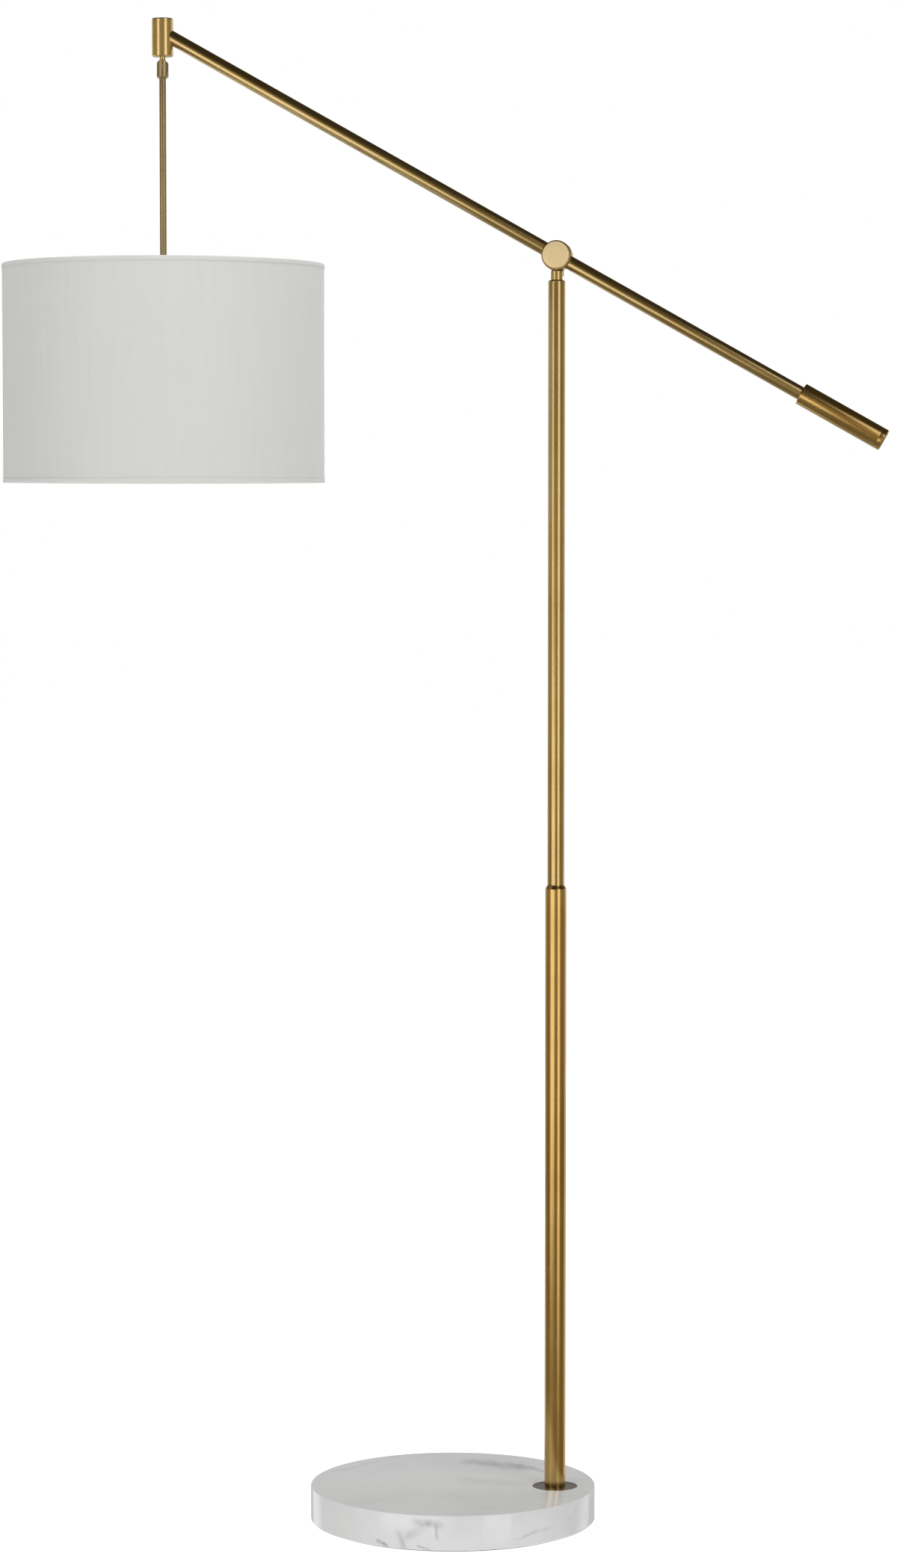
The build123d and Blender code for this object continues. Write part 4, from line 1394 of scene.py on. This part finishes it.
@dataclass
class Knuckle:
    """The swivel on the pole's top, the block that carries the boom, and the clamp knob."""

    knob_edge: float = 1.5
    dome: float = 0.5
    dome_rows: tuple[tuple[float, float, float], ...] = ((0.60, 0.22, 12.0), (0.25, 0.03, 0.0))
    bolt_r: float = 3.0

    def build(self) -> None:
        """Dress the swivel and the block, and turn the knob."""
        log.info("knuckle")
        dressed(["swivel_bracket", "knuckle_block", "rear_cap_nut"], KNUCKLE_BRASS)
        dressed(["swivel_washer", "friction_washer", "knob_washer"], BLACK_PLASTIC)
        dressed(["retaining_nut"], ZINC)
        dressed(["lead_swivel"], SLEEVE)
        self.knob()

    def knob(self) -> None:
        """The round clamp knob with its barely domed face, and its bolt."""
        span, washer = Span.of("clamp_knob"), Span.of("knob_washer")
        face, back, tail = -span.low.y, -washer.low.y, -span.high.y
        r = span.r
        outline = [
            Corner(0.0, tail),
            Corner(self.bolt_r, tail, 0.4),
            Corner(self.bolt_r, back),
            Corner(r, back, 0.6),
            Corner(r, face - self.dome, self.knob_edge),
        ]
        for share, drop, ease in self.dome_rows:
            outline.append(Corner(r * share, face - self.dome * drop, ease))
        outline.append(Corner(0.0, face))
        piece = turned("knob", outline, KNOB_AXLE)
        fitted(piece, Body.KNOB, KNOB_SATIN_LIT_BRASS, ["clamp_knob"])


@dataclass
class Boom:
    """The two boom tubes, the counterweight at the low end and the head at the high end."""

    tube_r: float = 8.0
    tube_bore: float = 7.0
    socket_at: float = 11.0
    front_end: float = 526.0
    rear_end: float = 347.5
    weight_r: float = 13.0
    weight_front: float = 327.5
    weight_seam: float = 431.5
    weight_end: float = 438.5
    stud_r: float = 4.0
    front_stud: float = 18.0
    end_stud: float = 14.0
    seam_edge: float = 0.35
    end_edge: float = 1.2
    head_edge: float = 1.0
    head_chamber: float = 7.5
    head_wall: float = 0.8

    def build(self) -> None:
        """Turn the tubes, the weight and the head's cap, and dress the rest."""
        log.info("boom")
        self.tubes()
        self.weight()
        self.head()
        dressed(["boom_insert_front", "boom_insert_rear", "tail_plug", "hanger_nut"], ZINC)
        dressed(["lead_boom"], SLEEVE)

    def tubes(self) -> None:
        """The front and rear tubes."""
        for name, node, low, high in (
            ("boom_front", "boom_tube_front", self.socket_at, self.front_end),
            ("boom_rear", "boom_tube_rear", -self.rear_end, -self.socket_at),
        ):
            outline = tube(self.tube_bore, self.tube_r, low, high, ease=0.2)
            piece = turned(name, outline, BOOM_AXLE, loop=True)
            fitted(piece, Body.BOOM, BOOM_BRASS, [node])

    def weight(self) -> None:
        """The counterweight, bored for the tube and the studs, and its screwed cap."""
        front, seam, end = -self.weight_front, -self.weight_seam, -self.weight_end
        bore_end = -self.rear_end
        outline = [
            Corner(0.0, bore_end - self.front_stud),
            Corner(self.stud_r, bore_end - self.front_stud),
            Corner(self.stud_r, bore_end),
            Corner(self.tube_r, bore_end),
            Corner(self.tube_r, front, 0.2),
            Corner(self.weight_r, front, self.end_edge),
            Corner(self.weight_r, seam, self.seam_edge),
            Corner(self.stud_r, seam),
            Corner(self.stud_r, seam + self.end_stud),
            Corner(0.0, seam + self.end_stud),
        ]
        piece = turned("weight", outline, BOOM_AXLE)
        fitted(piece, Body.BOOM, WEIGHT_SHADED_BRASS, ["counterweight"])
        outline = [
            Corner(0.0, end),
            Corner(self.weight_r - self.end_edge, end, 0.4),
            Corner(self.weight_r, end + self.end_edge, 0.4),
            Corner(self.weight_r, seam, self.seam_edge),
            Corner(self.stud_r, seam),
            Corner(self.stud_r, seam + self.end_stud, 0.5),
            Corner(0.0, seam + self.end_stud),
        ]
        piece = turned("weight_end", outline, BOOM_AXLE)
        fitted(piece, Body.BOOM, WEIGHT_SHADED_BRASS, ["weight_cap"])

    def head(self) -> None:
        """The head's screwed cap; its body and the hanger keep their shapes."""
        top, seam = HEAD.high.z, Span.of("head_body").high.z
        outline = [
            Corner(0.0, seam),
            Corner(self.head_chamber - self.head_wall, seam),
            Corner(self.head_chamber - self.head_wall, HEAD.low.z, 0.3),
            Corner(self.head_chamber, HEAD.low.z, 0.3),
            Corner(self.head_chamber, seam),
            Corner(HEAD.r, seam, self.seam_edge),
            Corner(HEAD.r, top, self.head_edge),
            Corner(0.0, top),
        ]
        piece = turned("head_lid", outline, HEAD_AXLE)
        fitted(piece, Body.BOOM, HEAD_LIT_BRASS, ["head_cap"])
        dressed(["head_body", "hanger_stud"], HEAD_LIT_BRASS)


@dataclass
class DropAndBulb:
    """What hangs from the head: fork, rod, cup, lampholder and bulb."""

    rod_bore: float = 2.8
    cup_wall: float = 1.2
    cup_edge: float = 10.0
    shell_wall: float = 0.6
    shell_foot: float = 2.0
    shell_top: float = 4.0
    shell_thread: float = 0.5
    thread_pitch: float = 3.6
    runout: float = 1.5
    cap_body: float = 22.0
    cap_recess: float = 7.0
    cap_wall: float = 0.4
    cap_foot: float = 4.0
    cap_top: float = 0.5
    cap_thread: float = 1.0
    tip_r: float = 4.5
    tip_low: float = 2.2
    tip_h: float = 1.6
    tip_flat: float = 0.8
    neck_h: float = 17.0
    neck_in: float = 0.5
    neck_pull: float = 0.42
    milk_from: float = 0.4
    globe_rings: int = 39
    neck_rings: int = 14
    globe_tangent: float = 50.0
    rows_per_mm: float = 3.0

    def build(self) -> None:
        """Turn the rod, cup, shell and bulb, and dress the rest."""
        log.info("drop and bulb")
        dressed(["swing_fork", "centre_contact"], ROD_BRASS)
        dressed(["swing_pin", "rod_locknuts"], ZINC)
        dressed(["lampholder"], BLACK_PLASTIC)
        dressed(["lead_drop"], SLEEVE)
        self.rod()
        self.cup()
        thread = rolled_thread()
        self.shell(thread)
        self.cap(thread)
        self.glass()

    def rod(self) -> None:
        """The thin tube that the shade hangs on."""
        span = Span.of("drop_rod")
        outline = tube(self.rod_bore, span.r, span.low.z, span.high.z, ease=0.2)
        piece = turned("rod", outline, HEAD_AXLE, loop=True, sides=SIDES_THIN)
        fitted(piece, Body.DROP, ROD_BRASS, ["drop_rod"])

    def cup(self) -> None:
        """The domed cup over the lampholder."""
        span, hole = Span.of("socket_cup"), Span.of("drop_rod").r
        top, low, r, wall = span.high.z, span.low.z, span.r, self.cup_wall
        outline = [
            Corner(hole, top),
            Corner(r, top, self.cup_edge),
            Corner(r, low, 0.3),
            Corner(r - wall, low, 0.3),
            Corner(r - wall, top - wall, self.cup_edge - wall),
            Corner(hole, top - wall),
        ]
        piece = turned("cup", outline, HEAD_AXLE, loop=True)
        fitted(piece, Body.DROP, HEAD_LIT_BRASS, ["socket_cup"])

    def wall_rows(self, r: float, low: float, high: float) -> list[Corner]:
        """Closely spaced corners up a straight wall, for a thread to bend.

        Args:
            r: The wall's radius.
            low: Its lower end.
            high: Its upper end.

        Returns:
            The corners, from low to high.
        """
        count = max(2, int(abs(high - low) * self.rows_per_mm))
        return [Corner(r, low + (high - low) * k / count) for k in range(count + 1)]

    def thread_sizes(self, low: float, high: float, deep: float) -> dict[str, object]:
        """Inputs of the thread tree for a wall on the drop's axis.

        Args:
            low: Where the thread starts.
            high: Where it ends.
            deep: How deep it is.

        Returns:
            The inputs by name.
        """
        return {
            "Axis X": HEAD_AXLE.origin.x,
            "From": low * MM,
            "To": high * MM,
            "Pitch": self.thread_pitch * MM,
            "Depth": deep * MM,
            "Runout": self.runout * MM,
            "Finish": ALUMINIUM.material(),
        }

    def shell(self, thread: ShapeTree) -> None:
        """The lampholder's threaded metal shell.

        Args:
            thread: The tree that rolls the thread.
        """
        span = Span.of("screw_shell")
        inner = span.r - self.shell_wall
        outline = self.wall_rows(span.r, span.low.z, span.high.z)
        outline += self.wall_rows(inner, span.high.z, span.low.z)
        piece = turned(
            "shell", outline, HEAD_AXLE, loop=True, sides=SIDES_THREAD, sharp=SHARP_THREAD
        )
        low, high = span.low.z + self.shell_foot, span.high.z - self.shell_top
        thread.run(piece, self.thread_sizes(low, high, self.shell_thread))
        fitted(piece, Body.DROP, ALUMINIUM, ["screw_shell"])

    def cap(self, thread: ShapeTree) -> None:
        """The bulb's rolled screw cap with its contact tip.

        Args:
            thread: The tree that rolls the thread.
        """
        span = Span.of("bulb_cap")
        low, top, r = span.low.z, span.high.z, span.r
        inner, recess = r - self.cap_wall, low + self.cap_recess
        outline = [Corner(0.0, recess), Corner(inner, recess)]
        outline += [Corner(inner, low), *self.wall_rows(r, low, low + self.cap_body)]
        outline += [
            Corner(self.tip_r + self.cap_wall, top - self.tip_low, 0.5),
            Corner(self.tip_r, top - self.tip_h, 0.2),
            Corner(self.tip_r * self.tip_flat, top, 1.0),
            Corner(0.0, top),
        ]
        piece = turned("bulb_screw", outline, HEAD_AXLE, sides=SIDES_THREAD, sharp=SHARP_THREAD)
        low, high = low + self.cap_foot, low + self.cap_body - self.cap_top
        thread.run(piece, self.thread_sizes(low, high, self.cap_thread))
        fitted(piece, Body.DROP, ALUMINIUM, ["bulb_cap"])

    def glass(self) -> None:
        """The opal globe with its narrow neck."""
        span, cap = Span.of("bulb_glass"), Span.of("bulb_cap")
        globe, top = span.r, span.high.z
        middle = span.low.z + globe
        neck = cap.r - self.neck_in
        neck_low = top - self.neck_h
        turn = math.radians(self.globe_tangent)
        swell = Vector((globe * math.sin(turn), middle + globe * math.cos(turn)))
        leave = Vector((-math.cos(turn), math.sin(turn)))
        start = Vector((neck, neck_low))
        reach = (start - swell).length * self.neck_pull
        handles = [swell, swell + leave * reach, start - Vector((0.0, reach)), start]
        outline = [Corner(0.0, span.low.z)]
        for k in range(1, self.globe_rings + 1):
            a = math.pi - (math.pi - turn) * k / self.globe_rings
            outline.append(Corner(globe * math.sin(a), middle + globe * math.cos(a)))
        for k in range(1, self.neck_rings + 1):
            t = k / self.neck_rings
            weights = ((1 - t) ** 3, 3 * t * (1 - t) ** 2, 3 * t * t * (1 - t), t**3)
            spot = sum((h * w for h, w in zip(handles, weights)), Vector((0.0, 0.0)))
            outline.append(Corner(spot.x, spot.y))
        outline += [Corner(neck, top, 0.6), Corner(0.0, top)]
        piece = turned("bulb_globe", outline, HEAD_AXLE)
        milky = middle + globe * self.milk_from
        finish = OpalGlass("finish_opal", neck_low * MM, milky * MM)
        fitted(piece, Body.DROP, finish, ["bulb_glass"])


@dataclass
class DrumShade:
    """The fabric drum on its two wire rings, with the spider that carries it."""

    lining_t: float = 0.35
    lining_inset: float = 0.5
    cloth_inset: float = 0.4
    lap_w: float = 13.0
    lap_t: float = 0.35
    lap_at: float = 90.0
    hem_h: float = 5.0
    hem_t: float = 0.30
    hem_gap: float = 0.2
    hem_foot: float = 1.6
    hem_tail: float = 3.2
    tail_gap: float = 0.05
    rows: int = 22
    cloth_sides: int = 300
    fold: float = 0.0006
    wire_sides: int = 16
    ring_sides: int = 240
    ease: float = 0.0003
    ease_share: float = 0.4
    arm_r: float = 1.5
    arm_count: int = 3
    arm_end: float = 5.0
    weld_at: float = 2.0
    weld_bead: float = 0.15
    hub_bore: float = 4.15
    hub_r: float = 14.0
    nut_h: float = 4.0
    span: Span = field(default_factory=lambda: Span.of("shade_drum"))
    r_in: float = field(default_factory=lambda: Span.of("shade_top_ring").r + 0.1)
    lining_finish: Moulded = field(
        default_factory=lambda: Moulded(
            "finish_lining", (0.800, 0.800, 0.785), (0.745, 0.745, 0.730), 0.48, 0.12, 500.0
        )
    )

    def build(self) -> None:
        """Make the lining, the cloth, its hems, the rings and the spider."""
        log.info("drum shade")
        self.lining()
        hems = [self.hem("hem_top", True), self.hem("hem_bottom", False)]
        self.cloth()
        for node in ("shade_top_ring", "shade_bottom_ring"):
            self.ring(node)
        self.spider()

    def rounds(self) -> list[float]:
        """Angles of the cloth's upright edges, closer at the two sides of the lap.

        Returns:
            The angles in order, in radians.
        """
        half = self.lap_w / 2 / self.span.r
        lap = math.radians(self.lap_at)
        sides = [lap - half, lap - half + self.fold, lap + half, lap + half + self.fold]
        even = [math.tau * k / self.cloth_sides for k in range(self.cloth_sides)]
        clear = [a for a in even if all(abs(a - s) > 10 * self.fold for s in sides)]
        return sorted(clear + sides)

    def lap(self, piece: bpy.types.Object, r_from: float) -> None:
        """Raise a strip at the back, where the cloth's end is lapped over its start.

        Args:
            piece: The cloth or hem.
            r_from: Radius, in millimetres, outside which the surface is raised.
        """
        half = self.lap_w / 2 / self.span.r
        lap = math.radians(self.lap_at)
        centre = HEAD_AXLE.origin.x
        for vert in piece.data.vertices:
            out = Vector((vert.co.x - centre, vert.co.y))
            angle = math.atan2(out.y, out.x)
            on_lap = lap - half < angle - self.fold / 2 < lap + half
            if on_lap and out.length > r_from * MM:
                grown = out * (1.0 + self.lap_t * MM / out.length)
                vert.co.x, vert.co.y = centre + grown.x, grown.y

    def lining(self) -> None:
        """The stiff white lining behind the cloth."""
        low, high = self.span.low.z + self.lining_inset, self.span.high.z - self.lining_inset
        outline = tube(self.r_in, self.r_in + self.lining_t, low, high)
        piece = turned("shade_lining", outline, HEAD_AXLE, loop=True, sides=self.ring_sides)
        fitted(piece, Body.DROP, self.lining_finish, ["shade_drum"])

    def cloth(self) -> None:
        """The linen drawn round the lining, lapped at the back.
        """
        low, high = self.span.low.z + self.cloth_inset, self.span.high.z - self.cloth_inset
        inner = self.r_in + self.lining_t
        outer = self.span.r - self.hem_t - self.lap_t / 2
        heights = [low + (high - low) * k / self.rows for k in range(self.rows + 1)]
        outline = [Corner(inner, z) for z in reversed(heights)]
        outline += [Corner(outer, z) for z in heights]
        piece = turned("shade_cloth", outline, HEAD_AXLE, loop=True, angles=self.rounds())
        self.lap(piece, (inner + outer) / 2)
        linen = Linen("finish_linen")
        sizes = {
            "Axis X": HEAD_AXLE.origin.x,
            "Low": low * MM,
            "High": high * MM,
            "Ease": min(self.ease, (outer - inner) * MM * self.ease_share),
            "Seed": 4.0,
            "Finish": linen.material(),
        }
        hand_stretched().run(piece, sizes)
        fitted(piece, Body.DROP, linen, ["shade_drum"])
        math.tau * outer * MM + self.lap_w * MM

    def hem(self, name: str, top: bool) -> bpy.types.Object:
        """A strip of the same linen rolled over one ring.

        Args:
            name: The piece's name.
            top: Whether it is the top ring's.

        Returns:
            The hem.
        """
        ring = Span.of("shade_top_ring" if top else "shade_bottom_ring")
        wire_t = ring.high.z - ring.low.z
        t, out, back = self.hem_t, self.span.r, self.r_in - self.tail_gap
        inner = ring.r - wire_t - t
        foot, tail = wire_t + self.hem_foot, wire_t + self.hem_tail

        def down(depth: float) -> float:
            """Height of a point that lies this deep from the shade's edge."""
            return self.span.high.z - depth if top else self.span.low.z + depth

        outline = [
            Corner(out - t, down(self.hem_h)),
            Corner(out, down(self.hem_h), 0.12),
            Corner(out, down(0.0), 1.2),
            Corner(inner, down(0.0), 1.6),
            Corner(inner, down(foot), 1.0),
            Corner(back, down(tail)),
            Corner(back, down(tail - 2 * t)),
            Corner(inner + t, down(foot - 2 * t), 0.8),
            Corner(inner + t, down(self.hem_gap), 1.4),
            Corner(out - t, down(self.hem_gap), 0.9),
        ]
        piece = turned(name, outline, HEAD_AXLE, loop=True, angles=self.rounds(), sharp=SHARP_HEM)
        return fitted(piece, Body.DROP, Linen("finish_linen"), ["shade_drum"])

    def ring(self, node: str) -> None:
        """A round wire ring.

        Args:
            node: The CAD node it stands for.
        """
        span = Span.of(node)
        wire = (span.high.z - span.low.z) / 2
        outline = [
            Corner(
                span.r - wire + wire * math.cos(math.tau * k / self.wire_sides),
                span.mid.z + wire * math.sin(math.tau * k / self.wire_sides),
            )
            for k in range(self.wire_sides)
        ]
        name = "wire_top" if "top" in node else "wire_bottom"
        piece = turned(name, outline, HEAD_AXLE, loop=True, sides=self.ring_sides)
        fitted(piece, Body.DROP, POWDER, [node])

    def spider(self) -> None:
        """The hub with its three sloping arms, welded to the top ring."""
        ring = Span.of("shade_top_ring")
        hub_low = Span.of("socket_cup").high.z
        hub_t = Span.of("rod_locknuts").high.z - self.nut_h - hub_low
        outline = [
            Corner(self.hub_bore, hub_low, 0.2),
            Corner(self.hub_r, hub_low, 0.5),
            Corner(self.hub_r, hub_low + hub_t, 0.8),
            Corner(self.hub_bore, hub_low + hub_t, 0.2),
        ]
        hub = turned("hub", outline, HEAD_AXLE, loop=True)
        wire_r = (ring.high.z - ring.low.z) / 2
        root = Vector((0.0, self.hub_r - self.arm_r, hub_low + hub_t / 2))
        tip = Vector((0.0, ring.r - wire_r, ring.mid.z))
        long = (tip - root).length
        bead = self.arm_r + self.weld_bead
        outline = [
            Corner(0.0, 0.0),
            Corner(self.arm_r, 0.0),
            Corner(self.arm_r, long - self.arm_end, 4.0),
            Corner(bead, long - self.weld_at, 2.0),
            Corner(bead, long, 0.8),
            Corner(0.0, long),
        ]
        arm = turned("arms", outline, Axle(root * MM, (tip - root).normalized()), sides=24)
        sizes = {
            "Count": self.arm_count,
            "Centre": tuple(HEAD_AXLE.origin),
            "Finish": POWDER.material(),
        }
        spokes().run(arm, sizes)
        piece = joined("spider", [hub, arm])
        fitted(piece, Body.DROP, POWDER, ["shade_spider"])


# ---- Studio ----


@dataclass(frozen=True)
class Softbox:
    """A rectangular soft light."""

    name: str
    place: Point
    aim: Point
    wide: float
    tall: float
    glow: float
    mirrored: bool = True

    def build(self) -> None:
        """Put the light in its place.

        The power follows from the glow, so that a box can be resized without a change in how
        bright its reflection is.
        """
        lamp = bpy.data.lights.new(self.name, "AREA")
        lamp.shape, lamp.size, lamp.size_y = "RECTANGLE", self.wide, self.tall
        lamp.energy = self.glow * math.pi * self.wide * self.tall
        holder = bpy.data.objects.new(self.name, lamp)
        holder.location = self.place
        facing = Vector(self.aim) - Vector(self.place)
        holder.rotation_euler = facing.to_track_quat("-Z", "Y").to_euler()
        holder.visible_camera = False
        holder.visible_glossy = self.mirrored
        bpy.context.scene.collection.objects.link(holder)
        log.info("light %s", self.name)


@dataclass
class Studio:
    """A white floor, a plain room, soft lights and the camera."""

    floor_r: float = 40.0
    floor_tone: Tone = (0.92, 0.92, 0.92)
    floor_glow: float = 0.93
    floor_bounce: float = 0.34
    floor_grain: float = 3.0
    lens: float = 99.18
    sensor: float = 36.0
    camera_at: Point = (0.5264, -5.0576, 1.2031)
    turn: float = 6.0
    dip: float = 3.658
    even_light: Tone = (0.22, 0.22, 0.23)
    backdrop: Tone = (0.500, 0.500, 0.495)
    back_band: Tone = (1.300, 1.270, 1.200)
    clip: tuple[float, float] = (0.1, 200.0)
    room_stops: tuple[tuple[float, Tone], ...] = (
        (0.00, (0.220, 0.195, 0.140)),
        (0.30, (0.280, 0.240, 0.160)),
        (0.43, (0.250, 0.165, 0.050)),
        (0.52, (0.520, 0.430, 0.250)),
        (0.65, (0.150, 0.125, 0.080)),
        (0.76, (0.055, 0.046, 0.028)),
    )
    behind: tuple[float, float] = (0.10, 0.65)
    above: tuple[float, float] = (0.12, 0.42)
    band_inner: tuple[float, float] = (0.45, 0.56)
    band_outer: tuple[float, float] = (0.70, 0.82)
    lights: tuple[Softbox, ...] = (
        Softbox("tall_box_right", (1.90, -2.20, 1.5), (0.12, 0.0, 1.5), 1.15, 4.2, 1.50),
        Softbox("tall_box_left", (-1.85, -2.05, 1.0), (0.12, 0.0, 1.0), 0.90, 2.8, 1.45),
        Softbox("low_box", (-1.50, -4.0, 0.25), (-0.70, -1.0, 1.3), 2.0, 1.6, 1.60),
        Softbox("over_box", (0.00, -3.6, 2.60), (0.0, 0.0, 1.6), 0.9, 0.9, 2.40, False),
        Softbox("top_fill", (0.2, -0.6, 4.2), (0.0, 0.0, 0.5), 3.0, 3.0, 4.00, False),
        Softbox("back_fill", (0.3, 3.8, 2.0), (0.0, 0.0, 1.1), 3.0, 3.0, 1.30, False),
    )

    def build(self) -> None:
        """Make the camera, the lights, the room and the floor."""
        self.camera()
        for light in self.lights:
            light.build()
        self.room()
        self.floor()
        bpy.context.scene.view_settings.view_transform = "Standard"

    def camera(self) -> None:
        """The camera, a little to the right of square on and about chest high."""
        eye = bpy.data.cameras.new("camera")
        eye.lens, eye.sensor_width, eye.sensor_fit = self.lens, self.sensor, "AUTO"
        eye.clip_start, eye.clip_end = self.clip
        holder = bpy.data.objects.new("camera", eye)
        holder.location = self.camera_at
        holder.rotation_euler = math.radians(90.0 - self.dip), 0.0, math.radians(self.turn)
        bpy.context.scene.collection.objects.link(holder)
        bpy.context.scene.camera = holder

    def room(self) -> None:
        """The room: white to the camera, dim and even on matt faces, warm in reflections."""
        world = bpy.data.worlds.new("room")
        world.use_nodes = True
        world.node_tree.nodes.clear()
        bench = Bench(world.node_tree)
        ray = bench.node("ShaderNodeLightPath")
        side, away, up = bench.parts(bench.node("ShaderNodeTexCoord").outputs["Generated"])
        ramp = bench.node("ShaderNodeValToRGB", {"stops": self.room_stops}, {0: up * 0.5 + 0.5})
        wall = bench.step(away, *self.behind) * (1.0 - bench.step(up, *self.above))
        band = bench.step(abs(side), *self.band_inner)
        band = band * (1.0 - bench.step(abs(side), *self.band_outer))
        back = bench.mix(band, self.backdrop, self.back_band)
        mirrored = bench.mix(wall, ramp.outputs[0], back)
        seen = bench.mix(bench.num(ray, "Is Glossy Ray"), self.even_light, mirrored)
        seen = bench.mix(bench.num(ray, "Is Camera Ray"), seen, (1.0, 1.0, 1.0))
        sky = bench.node("ShaderNodeBackground", None, {"Color": seen, "Strength": 1.0})
        bench.node("ShaderNodeOutputWorld", None, {"Surface": sky.outputs[0]})
        bpy.context.scene.world = world

    def floor(self) -> None:
        """The pale floor, which glows a little so that it stays near white."""
        bm = bmesh.new()
        bmesh.ops.create_circle(bm, cap_ends=True, segments=SIDES, radius=self.floor_r)
        ground = finished("floor", bm)
        made = bpy.data.materials.new("floor")
        made.use_nodes = True
        made.node_tree.nodes.clear()
        bench = Bench(made.node_tree)
        grain = bench.num(bench.noise(Finish.place(bench), self.floor_grain))
        tone = tuple(c * self.floor_bounce for c in self.floor_tone)
        skin = bench.node(
            "ShaderNodeBsdfPrincipled",
            None,
            {
                "Base Color": bench.mix(grain, (*tone, 1.0), tuple(c * 1.02 for c in tone)),
                "Roughness": 1.0,
                "Specular IOR Level": 0.0,
                "Emission Color": (1.0, 1.0, 1.0, 1.0),
                "Emission Strength": self.floor_glow,
            },
        )
        bench.node("ShaderNodeOutputMaterial", None, {"Surface": skin.outputs[0]})
        ground.data.materials.append(made)
        ground.visible_glossy = False
        ground.visible_shadow = False


def main() -> None:
    """Build the studio and every part of the lamp, in order."""
    logging.basicConfig(level=logging.INFO, format="%(message)s")
    Studio().build()
    for part in (MarbleBase(), Pole(), Knuckle(), Boom(), DropAndBulb(), DrumShade()):
        part.build()


if __name__ == "__main__":
    main()
